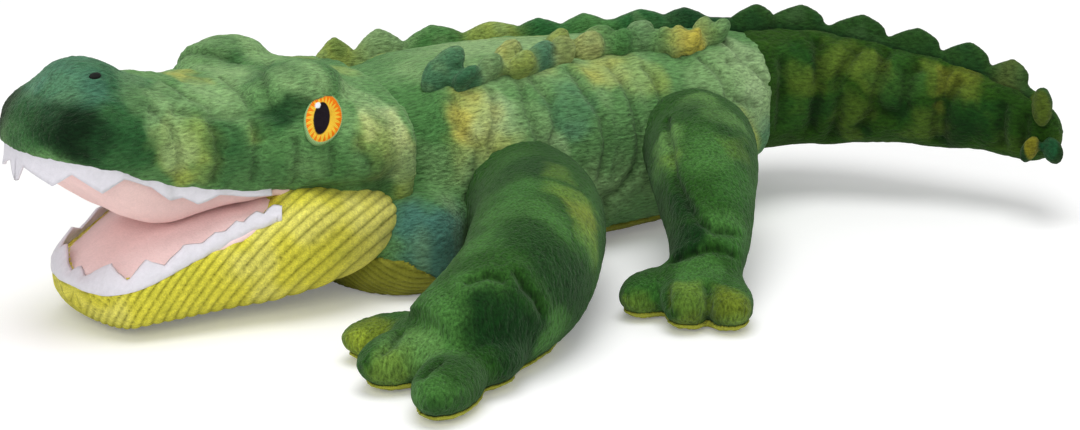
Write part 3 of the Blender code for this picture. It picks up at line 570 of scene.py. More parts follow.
def tint(piece, colours):
    """Keeps a colour for each point, which the cloth's material reads."""
    mesh = piece.data
    layer = mesh.attributes.get("tint") or mesh.attributes.new("tint", "FLOAT_COLOR", "POINT")
    rgba = np.ones((len(mesh.vertices), 4))
    rgba[:, :3] = np.clip(colours, 0.0, 1.0)
    layer.data.foreach_set("color", rgba.astype(np.float32).ravel())
    keep_rest(piece)


def keep_rest(piece):
    """Keeps where each point lies at rest, which the cloth's pattern follows."""
    attributes = piece.data.attributes
    rest = attributes.get("rest_place") or attributes.new("rest_place", "FLOAT_VECTOR", "POINT")
    rest.data.foreach_set("vector", points_of(piece).astype(np.float32).ravel())


def mottled(points, base, patches, seed, size=0.016):
    """Dyed cloth: a base colour with soft-edged patches, each a centre, reach, colour and strength."""
    warp = np.stack([cloth_noise(points, size, seed + k) for k in (11, 12, 13)], axis=1)
    fine = np.stack([cloth_noise(points, size / 3, seed + k) for k in (21, 22, 23)], axis=1)
    places = points + 0.45 * size * warp + 0.16 * size * fine
    colours = plain(points, base)
    for centre, reach, colour, strength in patches:
        off = (places - np.asarray(centre)) / np.asarray(reach)
        share = strength * step_up(1.25 - np.linalg.norm(off, axis=1), 0.0, 0.75)
        colours = stained(colours, colour, share)
    return colours


def plain(points, dye):
    """One dye for all points."""
    return np.tile(np.array(dye, float), (len(points), 1))


def stained(colours, dye, share):
    """Colours drawn towards a dye by a share, one number or one for each point."""
    share = np.asarray(share)
    return colours + (np.array(dye) - colours) * (share[:, None] if share.ndim else share)


def dyes_near(dyes, distances, reach):
    """Each point's mean of the dyes, weighted by its distances from where they lie."""
    weights = np.zeros(len(distances[0])) + 1e-9
    colours = np.zeros((len(weights), 3))
    for dye, distance in zip(dyes, distances):
        near = hump(distance, reach)
        colours += near[:, None] * np.array(dye)
        weights += near
    return colours / weights[:, None]


# The brightness that more contrast leaves as it is
MIDDLE_LEVEL = 0.17


def deepened(colours, strength=0.30):
    """The same dyes with more contrast between the light and the dark ones."""
    level = colours @ np.array([0.25, 0.65, 0.10])
    return colours * ((level / MIDDLE_LEVEL) ** strength)[:, None]


def blotched(points, colours, light, dark, seed, size, strength):
    """Wide light and dark blotches over a dyed cloth. Its darkest patches get no light ones."""
    field = cloth_noise(points, size, seed) + 0.5 * cloth_noise(points, size / 2.1, seed + 5)
    spared = step_up(colours.mean(axis=1), 0.02, 0.08)
    up = strength * (step_up(field, 0.1, 0.9) * spared)[:, None]
    down = strength * step_up(-field, 0.1, 0.9)[:, None]
    return colours + (np.array(light) - colours) * up + (np.array(dark) - colours) * down


def seen_patches(piece, marks, mirror=None):
    """Patches of dye placed by pixels of the photograph, and again on the hidden side by the mirror."""
    tree = surface_tree(piece)
    patches = []
    for across, down, reach, colour, strength in marks:
        place, _ = surface_under(tree, across, down)
        if place is None:
            continue
        patches.append((np.array(place), reach, colour, strength))
        if mirror is not None:
            patches.append((mirror(np.array([place]))[0], reach, colour, strength))
    return patches


def seen_lines(piece, lines, mirror=None):
    """Seam lines placed by pixels of the photograph on a surface, and again on the hidden side."""
    tree = surface_tree(piece)
    found = []
    for line in lines:
        places = [surface_under(tree, *spot)[0] for spot in line]
        places = np.array([place for place in places if place is not None])
        if len(places) < 2:
            continue
        found.append(places)
        if mirror is not None:
            found.append(mirror(places))
    return laid_on(piece, found)


def body_mirror(points):
    return points * np.array([1.0, -1.0, 1.0])


def head_mirror(points):
    u, v, z = head_frame(points)
    return head_place(u, -v, z)


def wire(tree, target, inputs):
    """Sets a node's inputs to a number or a colour, or joins them to another node's output."""
    for key, value in inputs.items():
        if isinstance(value, bpy.types.NodeSocket):
            tree.links.new(value, target.inputs[key])
        else:
            target.inputs[key].default_value = value


def node(tree, kind, inputs, **settings):
    """A new node, with its inputs wired."""
    made = tree.nodes.new(kind)
    for key, value in settings.items():
        setattr(made, key, value)
    wire(tree, made, inputs)
    return made


# How much of a cloth's pattern is its finest grain
GRAIN_SHARE = 0.25


def cloth_material(name, stretch, cell, contrast, bump, sheen, sheen_tint, roughness):
    """Cloth whose colour comes from its dye, broken up by a pile or weave of that cell size."""
    material = bpy.data.materials.new(name)
    material.use_nodes = True
    tree = material.node_tree
    dye = node(tree, "ShaderNodeAttribute", {}, attribute_name="tint").outputs["Color"]
    rest = node(tree, "ShaderNodeAttribute", {}, attribute_name="rest_place").outputs["Vector"]
    scale = tuple(1.0 / (cell * share) for share in stretch)
    stretched = node(tree, "ShaderNodeMapping", {"Vector": rest, "Scale": scale}).outputs["Vector"]
    pile = node(tree, "ShaderNodeTexNoise", {
        "Vector": stretched, "Scale": 1.0, "Detail": 3.0, "Roughness": 0.6,
    })
    fine = node(tree, "ShaderNodeTexNoise", {"Vector": rest, "Scale": 2.6 / cell, "Detail": 2.0})
    pattern = node(tree, "ShaderNodeMix", {
        0: GRAIN_SHARE, 2: pile.outputs["Fac"], 3: fine.outputs["Fac"],
    }, data_type="FLOAT").outputs[0]
    level = node(tree, "ShaderNodeMapRange", {
        "Value": pattern, "From Min": 0.30, "From Max": 0.70,
        "To Min": 1.0 - contrast, "To Max": 1.0 + contrast * 0.8,
    })
    shaded = node(tree, "ShaderNodeVectorMath", {
        0: dye, "Scale": level.outputs["Result"],
    }, operation="SCALE")
    raised = node(tree, "ShaderNodeBump", {"Strength": 1.0, "Distance": bump, "Height": pattern})
    wire(tree, tree.nodes["Principled BSDF"], {
        "Base Color": shaded.outputs["Vector"], "Normal": raised.outputs["Normal"],
        "Roughness": roughness, "Specular IOR Level": 0.10,
        "Sheen Weight": sheen, "Sheen Roughness": 0.45, "Sheen Tint": (*sheen_tint, 1.0),
    })
    return material


def dress(piece, material):
    piece.data.materials.clear()
    piece.data.materials.append(material)


PLUSH = cloth_material(
    "plush", stretch=(3.6, 1.0, 1.0), cell=0.0009, contrast=0.62, bump=0.0012,
    sheen=0.16, sheen_tint=(0.75, 0.9, 0.65), roughness=0.95)
LEG_PLUSH = cloth_material(
    "leg_plush", stretch=(1.0, 1.0, 3.0), cell=0.0010, contrast=0.72, bump=0.0014,
    sheen=0.18, sheen_tint=(0.6, 0.85, 0.55), roughness=0.95)
TAIL_PLUSH = cloth_material(
    "tail_plush", stretch=(2.4, 2.4, 1.0), cell=0.0010, contrast=0.60, bump=0.0012,
    sheen=0.12, sheen_tint=(0.6, 0.8, 0.45), roughness=0.95)
CORDUROY = cloth_material(
    "corduroy", stretch=(1.0, 1.0, 1.0), cell=0.00055, contrast=0.30, bump=0.0006,
    sheen=0.12, sheen_tint=(1.0, 1.0, 0.6), roughness=0.9)
TRICOT = cloth_material(
    "tricot", stretch=(1.0, 1.6, 0.7), cell=0.0007, contrast=0.07, bump=0.00025,
    sheen=0.15, sheen_tint=(1.0, 0.85, 0.85), roughness=0.8)
FELT = cloth_material(
    "felt", stretch=(1.3, 1.0, 1.0), cell=0.0013, contrast=0.05, bump=0.0003,
    sheen=0.30, sheen_tint=(1.0, 1.0, 1.0), roughness=0.95)
THREAD = cloth_material(
    "thread", stretch=(1.0, 1.0, 1.0), cell=0.0004, contrast=0.10, bump=0.0001,
    sheen=0.0, sheen_tint=(1.0, 1.0, 1.0), roughness=0.6)


def add_camera():
    data = bpy.data.cameras.new("camera")
    data.lens = LENS
    data.sensor_width = SENSOR
    data.sensor_fit = "HORIZONTAL"
    data.clip_end = 20.0
    camera = add_object("camera", data)
    turn = np.stack([CAMERA_RIGHT, CAMERA_UP, CAMERA_BACK], axis=1)
    camera.matrix_world = Matrix.Translation(CAMERA_PLACE) @ Matrix(turn.tolist()).to_4x4()
    bpy.context.scene.camera = camera


def add_softbox(name, place, target, size, watts):
    data = bpy.data.lights.new(name, "AREA")
    data.shape = "DISK"
    data.size = size
    data.energy = watts
    lamp = add_object(name, data)
    lamp.location = place
    lamp.rotation_euler = (Vector(target) - Vector(place)).to_track_quat("-Z", "Y").to_euler()


WHITE = (1.0, 1.0, 1.0, 1.0)
FLOOR_GREY = (0.93, 0.93, 0.93, 1.0)
FLOOR_LEVEL = -0.0004
# How much the floor glows towards the camera, and how strongly the unseen room lights the plush
FLOOR_LIFT = 0.17
ROOM_LIGHT = 0.50


def add_studio():
    """A pale floor, a pale room, a wide lamp overhead and a weaker one from the camera's left."""
    bpy.context.scene.view_settings.view_transform = "Standard"
    world = bpy.data.worlds.new("room")
    bpy.context.scene.world = world
    world.use_nodes = True
    tree = world.node_tree
    path = node(tree, "ShaderNodeLightPath", {}).outputs
    seen = path["Is Camera Ray"]
    for ray in ("Is Glossy Ray", "Is Transmission Ray"):
        seen = node(tree, "ShaderNodeMath", {0: seen, 1: path[ray]}, operation="MAXIMUM").outputs[0]
    strength = node(tree, "ShaderNodeMapRange", {"Value": seen, "To Min": ROOM_LIGHT, "To Max": 1.0})
    wire(tree, tree.nodes["Background"], {"Color": WHITE, "Strength": strength.outputs["Result"]})
    add_softbox("overhead", place=(-0.15, -0.25, 1.5), target=(0.0, -0.05, 0.0), size=1.1, watts=12.0)
    add_softbox("front", place=(-0.9, -1.1, 0.9), target=(-0.1, -0.05, 0.05), size=0.8, watts=5.0)
    corners = [(-6, -6, FLOOR_LEVEL), (6, -6, FLOOR_LEVEL), (6, 6, FLOOR_LEVEL), (-6, 6, FLOOR_LEVEL)]
    floor = add_mesh("floor", corners, [(0, 1, 2, 3)])
    material = bpy.data.materials.new("floor")
    material.use_nodes = True
    tree = material.node_tree
    path = node(tree, "ShaderNodeLightPath", {}).outputs
    lift = node(tree, "ShaderNodeMath", {0: path["Is Camera Ray"], 1: FLOOR_LIFT}, operation="MULTIPLY")
    wire(tree, tree.nodes["Principled BSDF"], {
        "Base Color": FLOOR_GREY, "Roughness": 0.8,
        "Emission Color": WHITE, "Emission Strength": lift.outputs[0],
    })
    floor.data.materials.append(material)


add_camera()
add_studio()


# Body
TURN = np.linspace(0.0, 2 * math.pi, 96, endpoint=False)


def oval_rings(centres, sides, half_widths, rises, drops, top_bulge, low_bulge, ups=None):
    """Rings of rounded sections. Each argument but the bulges has one entry for each ring."""
    cosine = np.cos(TURN)
    sine = np.sin(TURN)
    bulge = np.where(sine < 0, low_bulge, top_bulge)
    across = power(cosine, 2 / bulge)
    lift = power(sine, 2 / bulge)
    rings = []
    for index, centre in enumerate(centres):
        up = UPRIGHT if ups is None else ups[index]
        heights = np.where(lift > 0, lift * rises[index], lift * drops[index])
        rings.append(centre + across[:, None] * half_widths[index] * sides[index] + heights[:, None] * up)
    return np.array(rings)


def body_rings(along):
    """Rings round the torso at shares of its length."""
    wide, bottom, top, bend = read_table(BODY_SHARES, along)
    low = BODY_HEIGHT * bottom
    high = BODY_HEIGHT * top
    turn = TAIL_SEAM_TURN * bend
    sides = np.stack([-np.sin(turn), np.cos(turn), np.zeros_like(turn)], axis=1)
    centres = np.stack([NECK[0] + BODY_LENGTH * along, -TAIL_SHIFT * bend, (low + high) / 2], axis=1)
    half = (high - low) / 2
    return oval_rings(centres, sides, BODY_HALF_WIDTH * wide, half, half, top_bulge=2.4, low_bulge=3.2)


def ridge_place(along, across_share):
    """A point on the back, at a share along the body and a share of its half width across."""
    wide, bottom, top, bend = read_table(BODY_SHARES, along)
    across = across_share * BODY_HALF_WIDTH
    share = np.minimum(np.abs(across_share) / wide, 0.95)
    rise = BODY_HEIGHT * (top - bottom) / 2 * (1 - share ** 2.4) ** (1 / 2.4)
    x = NECK[0] + BODY_LENGTH * along
    return np.stack([x, across - TAIL_SHIFT * bend, BODY_HEIGHT * (top + bottom) / 2 + rise], axis=-1)


# The cell that the body's solids are fused with, how wide its cloth is held at a seam, how far it swells
BODY_CELL = 0.0030
BODY_PINNED = 0.0022
BODY_SWELL = 0.0045
# It is also held near the floor, under the head's rim and at the tail's seam
BODY_HELD_BELOW = 0.012
BODY_HELD_BEFORE = -0.100
BODY_HELD_BEHIND = 0.094
NECK_BALL_WIDTH = 0.043
CHEST_PLACE = (-0.086, 0.021, 0.019)
CHEST_SIZE = (0.030, 0.043, 0.0245)


def make_body():
    """The torso's plush, sewn in curved scale lines, with a ball under the head's rim."""
    along = np.linspace(0.0, 1.0, 60)
    rings = list(body_rings(along))
    last = rings[-1]
    middle = last.mean(0)
    for share, ahead in ((0.93, 0.0016), (0.80, 0.0026)):
        rings.append(middle + (last - middle) * share + np.array([ahead, 0.0, 0.0]))
    loft = add_loft("torso_loft", rings)
    bottom, top = BODY_SHARES[0][2:4]
    half = BODY_HEIGHT * (top - bottom) / 2
    size = np.diag([NECK_BALL_WIDTH, NECK_BALL_WIDTH, half])
    solids = [loft, add_ball("neck_ball", (NECK[0], 0.0, half), size, bulge=2.4, steps=64, rows=32)]
    for side in (-1, 1):
        place = np.array(CHEST_PLACE) * [1, side, 1]
        solids.append(add_ball("chest", place, np.diag(CHEST_SIZE), bulge=2.5, steps=48, rows=24))
    piece = fuse("body_plush", solids, BODY_CELL, rounds=6)
    keep_above(piece, 0.0)
    lines = seen_lines(piece, BODY_SEAMS, body_mirror)
    points = points_of(piece)
    sewn = distance_to(lines, points) < BODY_PINNED
    sewn |= points[:, 2] < BODY_HELD_BELOW
    sewn |= (points[:, 0] < BODY_HELD_BEFORE) | (points[:, 0] > BODY_HELD_BEHIND)
    inflate(piece, sewn, BODY_SWELL)
    relax(piece, rounds=1)
    return piece, quilted(piece, lines, depth=0.0016, width=0.0013, puff=0.0007)


# Seams by pixels of the photograph
BODY_SEAMS = (
    ((452, 97), (458, 125), (478, 148), (476, 178), (468, 200)),
    ((492, 92), (496, 118), (489, 148), (497, 160)),
    ((520, 82), (527, 110), (538, 138), (552, 165)),
    ((533, 80), (552, 105), (557, 128), (549, 148), (566, 170), (574, 195)),
    ((569, 70), (586, 95), (602, 118), (606, 150), (600, 178)),
    ((610, 66), (628, 92), (636, 120), (640, 150), (632, 178)),
    ((645, 68), (655, 80), (662, 100)),
    ((604, 195), (603, 225), (598, 245)),
    ((638, 165), (620, 190), (600, 198)),
    ((497, 160), (520, 162), (552, 165)),
    ((700, 58), (722, 78), (730, 105), (736, 140), (745, 178)),
    ((722, 40), (745, 62), (768, 85), (772, 120), (768, 150)),
    ((728, 62), (752, 58), (772, 64)),
    ((745, 178), (760, 150), (774, 118)),
    ((736, 100), (755, 105), (775, 96)),
)

# Patches of dye: the pixel in the middle, reach, dye and strength
BODY_MARKS = (
    (470, 112, 0.013, OCHRE, 0.85), (462, 150, 0.011, OCHRE, 0.45), (500, 145, 0.010, OCHRE, 0.55),
    (498, 120, 0.010, PALE, 0.6), (535, 60, 0.012, OCHRE, 0.6), (600, 66, 0.012, OCHRE, 0.6),
    (640, 75, 0.012, OLIVE, 0.6), (575, 110, 0.014, TEAL, 0.4), (440, 245, 0.020, TEAL, 0.95),
    (432, 215, 0.016, TEAL, 0.6), (455, 275, 0.014, TEAL, 0.7), (425, 150, 0.016, GREEN, 0.8),
    (410, 110, 0.018, GREEN, 0.7), (430, 185, 0.013, GREEN, 0.7), (450, 50, 0.030, SAGE, 0.8),
    (500, 45, 0.030, SAGE, 0.8), (560, 42, 0.025, SAGE, 0.6), (530, 130, 0.014, SAGE, 0.6),
    (485, 170, 0.014, SAGE, 0.5), (550, 160, 0.012, PALE, 0.5), (610, 200, 0.018, SAGE, 0.4),
    (640, 255, 0.012, OCHRE, 0.7), (660, 120, 0.014, GREEN, 0.5), (720, 80, 0.016, SAGE, 0.6),
    (750, 65, 0.016, PALE, 0.6), (742, 130, 0.011, OCHRE, 0.7), (744, 148, 0.012, YELLOW, 0.5),
    (762, 95, 0.012, PALE, 0.5), (768, 125, 0.010, TEAL, 0.4),
)


def dye_and_shade_body(piece, lines):
    """Gives the torso its pile, its patches of dye, and painted shade along its pressed-in seams."""
    seam_shade = hump(distance_to(lines, points_of(piece)), 0.0016)
    add_pile(piece, nap=(1.0, 0.0, -0.25), height=0.00042, seed=3)
    points = keep_above(piece, PLUSH_BOTTOM)
    colours = mottled(points, MID, seen_patches(piece, BODY_MARKS, body_mirror), seed=2)
    colours = deepened(blotched(points, colours, SAGE, GREEN, seed=7, size=0.020, strength=0.5))
    # Painted shade in the pressed-in seam grooves.
    colours *= (1 - 0.45 * seam_shade)[:, None]
    tint(piece, colours)


body, body_lines = make_body()
dye_and_shade_body(body, body_lines)
dress(body, PLUSH)
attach(body, "torso")
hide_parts("body_skin", "body_stuffing")


# Upper head
def lip_level(u):
    """The upper lip, which hangs a little between the nose and the corner."""
    reach = BARREL + 0.0008
    start = HINGE_U - reach * math.sin(LIP_SLOPE)
    plane = HINGE_Z + np.maximum(reach, (u - start) * math.tan(LIP_SLOPE) + reach * math.cos(LIP_SLOPE))
    hang = np.clip((u - 0.080) / 0.082, 0.0, 1.0)
    return plane - 0.0038 * np.sin(math.pi * hang ** 0.8)


HEAD_CELL = 0.0027
HEAD_PINNED = 0.0020
HEAD_SWELL = 0.0030
# Middles and half sizes of the left brow and the nose in the head's frame
BROW_PLACE = (0.062, 0.0245, 0.083)
BROW_SIZE = (0.021, 0.0135, 0.0125)
NOSE_PLACE = (0.1435, 0.0, 0.0945)
NOSE_SIZE = (0.0165, 0.0165, 0.0115)
# The nose's front leans back by so much, from this height on and over so much height
NOSE_SLOPE_BACK = 0.0095
NOSE_SLOPE_START = 0.078
NOSE_SLOPE_SPAN = 0.022


def make_head():
    """The upper head: a long snout with a nose bump, two brows, and a rim that hugs the neck."""
    along = np.linspace(-0.045, 1.0, 78)
    wide, top, middle = read_table(HEAD_SHARES, along)
    u = HEAD_REAR + HEAD_LENGTH * along
    middle = HEAD_TOP * middle
    rise = np.maximum(HEAD_TOP * top - middle, 0.002)
    front = step_up(u, 0.046, 0.060)
    tuck = 1.0 + 1.0 * front
    lowest = 0.0065 + (lip_level(u) - 0.0065) * front
    drop = np.maximum((middle - lowest) * tuck, 0.003)
    centres = np.stack([u, np.zeros_like(u), middle], axis=1)
    sides = np.tile([0.0, 1.0, 0.0], (len(u), 1))
    rings = oval_rings(centres, sides, HEAD_HALF_WIDTH * wide, rise, drop, top_bulge=2.1, low_bulge=2.1)
    rings[:, :, 2] = np.maximum(rings[:, :, 2], lowest[:, None])
    rise_share = np.clip((rings[:, :, 2] - middle[:, None]) / rise[:, None], 0.0, 1.0)
    rings[:, :, 1] *= 1 - 0.42 * step_up(rings[:, :, 0], 0.118, 0.140) * rise_share
    slope = np.clip((rings[:, :, 2] - NOSE_SLOPE_START) / NOSE_SLOPE_SPAN, 0.0, 1.0) ** 1.2
    rings[:, :, 0] -= NOSE_SLOPE_BACK * slope * step_up(rings[:, :, 0], 0.128, 0.168)
    solids = [add_loft("head_loft", head_place(*np.moveaxis(rings, -1, 0)))]
    head_axes = head_place(*np.eye(3)) - NECK
    for side in (1, -1):
        place = head_place(*np.array(BROW_PLACE) * [1, side, 1])
        solids.append(add_ball("brow", place, head_axes * np.array(BROW_SIZE)[:, None], bulge=2.1))
    axes = head_axes * np.array(NOSE_SIZE)[:, None]
    solids.append(add_ball("nose", head_place(*NOSE_PLACE), axes, bulge=2.0))
    piece = fuse("head_plush", solids, HEAD_CELL, rounds=6)
    lines = seen_lines(piece, HEAD_SEAMS, head_mirror)
    points = points_of(piece)
    u, v, z = head_frame(points)
    sewn = distance_to(lines, points) < HEAD_PINNED
    sewn |= z < np.maximum(lip_level(u), 0.02) + 0.004
    sewn |= u < 0.030
    inflate(piece, sewn, HEAD_SWELL)
    points = points_of(piece)
    u, v, z = head_frame(points)
    under_jaw = step_up(u, 0.028, 0.034) * step_up(0.054 - z, 0.0, 0.006) * (1 - step_up(u, 0.078, 0.090))
    set_points(piece, head_place(u, v * (1 - 0.10 * under_jaw), z))
    relax(piece, rounds=1)
    return piece, quilted(piece, lines, depth=0.0012, width=0.0014, puff=0.0007)


HEAD_SEAMS = (
    ((175, 112), (200, 115), (225, 117), (250, 114), (272, 113)),
    ((152, 110), (172, 128), (180, 150), (178, 180)),
    ((208, 118), (219, 145), (220, 165), (214, 180)),
    ((252, 116), (257, 140), (256, 160), (254, 180)),
    ((297, 142), (298, 160), (296, 182)),
    ((165, 82), (185, 95), (205, 104), (214, 114)),
    ((222, 78), (240, 92), (251, 108)),
    ((268, 62), (264, 82), (268, 104), (274, 114)),
    ((332, 148), (334, 160), (332, 172)),
    ((360, 138), (362, 152), (372, 165)),
)
HEAD_MARKS = (
    (30, 120, 0.016, DARK, 0.7), (110, 110, 0.022, DARK, 0.75), (120, 150, 0.016, DARK, 0.75),
    (100, 62, 0.018, TEAL, 0.45), (120, 85, 0.016, DARK, 0.5), (160, 125, 0.009, SAGE, 0.6),
    (168, 152, 0.011, OLIVE, 0.75), (176, 172, 0.008, YELLOW, 0.5), (195, 140, 0.011, OLIVE, 0.6),
    (205, 165, 0.009, OLIVE, 0.5), (165, 95, 0.012, SAGE, 0.6), (195, 80, 0.009, OCHRE, 0.5),
    (215, 95, 0.014, SAGE, 0.7), (235, 75, 0.012, SAGE, 0.7), (225, 135, 0.010, DARK, 0.55),
    (236, 160, 0.012, DARK, 0.4), (262, 130, 0.007, OLIVE, 0.5), (276, 122, 0.009, DARK, 0.85),
    (290, 108, 0.008, DEEP, 0.6), (282, 150, 0.010, GREEN, 0.6), (300, 68, 0.013, SAGE, 0.75),
    (345, 72, 0.008, OLIVE, 0.6), (262, 55, 0.012, SAGE, 0.6), (350, 110, 0.011, GREEN, 0.4),
    (360, 100, 0.009, SAGE, 0.7), (395, 145, 0.011, OCHRE, 0.6), (400, 165, 0.010, PALE, 0.7),
    (388, 120, 0.008, PALE, 0.7), (375, 150, 0.009, OLIVE, 0.5), (335, 160, 0.011, GREEN, 0.6),
    (405, 205, 0.008, OLIVE, 0.8), (372, 165, 0.008, DARK, 0.4), (325, 180, 0.009, GREEN, 0.7),
    (215, 50, 0.012, DARK, 0.5), (190, 45, 0.010, DARK, 0.5), (398, 150, 0.012, (0.26, 0.36, 0.12), 0.6),
    (392, 128, 0.010, (0.42, 0.48, 0.20), 0.7), (405, 190, 0.011, OLIVE, 0.85),
    (410, 225, 0.010, OLIVE, 0.7), (172, 150, 0.010, PALE, 0.45), (60, 85, 0.015, TEAL, 0.5),
    (85, 138, 0.014, DEEP, 0.7), (45, 118, 0.012, DEEP, 0.7),
    (66, 128, 0.013, (0.006, 0.036, 0.010), 0.9),
)


def dye_and_shade_head(piece, lines):
    """Gives the upper head its pile, its patches of dye, and painted shade along its pressed-in seams."""
    seam_shade = hump(distance_to(lines, points_of(piece)), 0.0015)
    add_pile(piece, nap=(-1.0, 0.0, 0.35), height=0.00045, seed=5)
    points = points_of(piece)
    colours = mottled(points, MID, seen_patches(piece, HEAD_MARKS, head_mirror), seed=4, size=0.013)
    colours = blotched(points, colours, SAGE, DARK, seed=17, size=0.016, strength=0.32)
    colours = deepened(colours, strength=0.42)
    # Painted shade in the pressed-in seam grooves.
    colours *= (1 - 0.40 * seam_shade)[:, None]
    tint(piece, colours)


head, head_lines = make_head()
dye_and_shade_head(head, head_lines)
dress(head, PLUSH)
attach(head, "head")
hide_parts("head_skin", "head_stuffing")


# Legs. The right ones mirror the left ones. "pad" is the foot's middle and its half sizes.
FRONT_LEG = {
    "start": (-0.038, 0.0285), "plane": 0.0514, "radius": 0.025, "reach": 0.092, "advance": 0.088,
    # Advance, reach, height over the start's height, thickness
    "shares": (
        (0.00, -0.08, 1.00, 1.00), (0.00, 0.04, 1.00, 1.00), (0.10, 0.30, 1.04, 1.02),
        (0.28, 0.56, 1.00, 1.04), (0.52, 0.83, 0.88, 1.00), (0.80, 0.97, 0.70, 0.86),
        (1.02, 1.00, 0.52, 0.66),
    ),
    "pad": ((-0.116, -0.140), (0.024, 0.030, 0.0115)),
    # Toe tip, turn outward, half length, half width, half height
    "toes": (
        ((-0.1475, -0.1075), -11, 0.022, 0.0118, 0.0082), ((-0.1565, -0.1420), 15, 0.023, 0.0130, 0.0098),
        ((-0.1515, -0.1830), 43, 0.023, 0.0122, 0.0094),
    ),
}
HIND_LEG = {
    "start": (0.0435, 0.040), "plane": 0.0464, "radius": 0.0222, "reach": 0.082, "advance": 0.050,
    "shares": (
        (0.00, -0.08, 1.00, 1.00), (0.00, 0.06, 1.00, 1.02), (0.22, 0.32, 0.98, 1.00),
        (0.46, 0.58, 0.84, 0.88), (0.66, 0.80, 0.62, 0.74), (0.86, 0.96, 0.36, 0.62),
    ),
    "pad": ((-0.005, -0.129), (0.018, 0.019, 0.0105)),
    "toes": (
        ((-0.0350, -0.1230), 18, 0.018, 0.0100, 0.0085), ((-0.0250, -0.1470), 45, 0.019, 0.0108, 0.0095),
        ((-0.0070, -0.1590), 72, 0.018, 0.0104, 0.0090),
    ),
}
LEG_GREEN = (0.040, 0.125, 0.022)
LEG_DARK = (0.008, 0.055, 0.013)
TOE_OLIVE = (0.235, 0.250, 0.035)
SOLE_YELLOW = (0.50, 0.52, 0.06)
FRONT_LEG_MARKS = (
    (540, 165, 0.014, LEG_DARK, 0.6), (520, 190, 0.014, GREEN, 0.5), (500, 210, 0.012, MID, 0.5),
    (560, 170, 0.008, OLIVE, 0.4), (575, 195, 0.010, OLIVE, 0.6), (588, 220, 0.010, OCHRE, 0.5),
    (590, 240, 0.010, OLIVE, 0.6), (480, 240, 0.012, MID, 0.6), (520, 235, 0.010, LEG_DARK, 0.4),
    (545, 215, 0.010, MID, 0.5), (560, 270, 0.016, LEG_DARK, 0.7), (585, 290, 0.014, LEG_DARK, 0.5),
    (470, 290, 0.013, MID, 0.5), (500, 320, 0.016, LEG_DARK, 0.9), (520, 345, 0.014, LEG_DARK, 0.8),
    (470, 315, 0.010, LEG_DARK, 0.5), (555, 325, 0.010, MID, 0.5), (440, 340, 0.012, MID, 0.7),
    (430, 320, 0.012, MID, 0.6), (362, 333, 0.012, TOE_OLIVE, 0.9), (352, 345, 0.008, YELLOW, 0.5),
    (400, 350, 0.013, SAGE, 0.7), (385, 370, 0.010, OLIVE, 0.7), (430, 390, 0.012, MID, 0.7),
    (440, 410, 0.009, LEG_DARK, 0.5),
)
HIND_LEG_MARKS = (
    (700, 100, 0.010, SAGE, 0.6), (725, 115, 0.010, SAGE, 0.5), (690, 105, 0.008, LEG_DARK, 0.4),
    (715, 150, 0.014, MID, 0.7), (740, 190, 0.012, GREEN, 0.5), (660, 140, 0.009, SAGE, 0.7),
    (664, 160, 0.007, OLIVE, 0.6), (655, 185, 0.010, GREEN, 0.6), (675, 210, 0.009, LEG_DARK, 0.8),
    (690, 238, 0.010, LEG_DARK, 0.95), (672, 240, 0.009, LEG_DARK, 0.6), (725, 225, 0.010, MID, 0.6),
    (740, 245, 0.010, GREEN, 0.5), (700, 275, 0.010, MID, 0.6), (733, 305, 0.011, TOE_OLIVE, 0.9),
    (742, 320, 0.008, OLIVE, 0.7), (690, 305, 0.010, OLIVE, 0.7), (685, 322, 0.008, TOE_OLIVE, 0.7),
    (640, 300, 0.010, GREEN, 0.5), (632, 312, 0.007, OLIVE, 0.8), (738, 150, 0.009, OLIVE, 0.4),
    (662, 160, 0.012, SAGE, 0.35),
)
FRONT_LEG_SEAMS = (
    ((411, 388), (424, 376), (440, 362)),
    ((383, 352), (392, 345), (400, 334)),
    ((517, 275), (524, 288), (536, 300), (541, 312)),
    ((468, 282), (488, 276), (502, 280)),
)
HIND_LEG_SEAMS = (
    ((661, 92), (667, 120), (671, 148), (676, 180), (690, 208), (700, 222)),
    ((708, 322), (709, 305), (708, 288)),
    ((672, 262), (690, 255), (712, 250), (735, 256)),
    ((700, 222), (715, 232), (735, 234)),
    ((660, 318), (668, 305), (668, 292)),
)


def limb_path(leg, advance=None):
    """The limb's middle line for the left side, and its radius along it."""
    advance = leg["advance"] if advance is None else advance
    shares = np.array(leg["shares"])
    steps = np.arange(len(shares), dtype=float)
    table = np.column_stack([steps, shares])
    ahead, out, high, thick = read_table(table, np.linspace(0, len(shares) - 1, 30))
    x = leg["start"][0] - advance * ahead
    y = -(leg["plane"] + leg["reach"] * out)
    return np.stack([x, y, leg["start"][1] * high], axis=1), leg["radius"] * thick


LEG_CELL = 0.0024
LEG_PINNED = 0.0018
LEG_SWELL = 0.0022
LEG_HELD_BELOW = 0.004


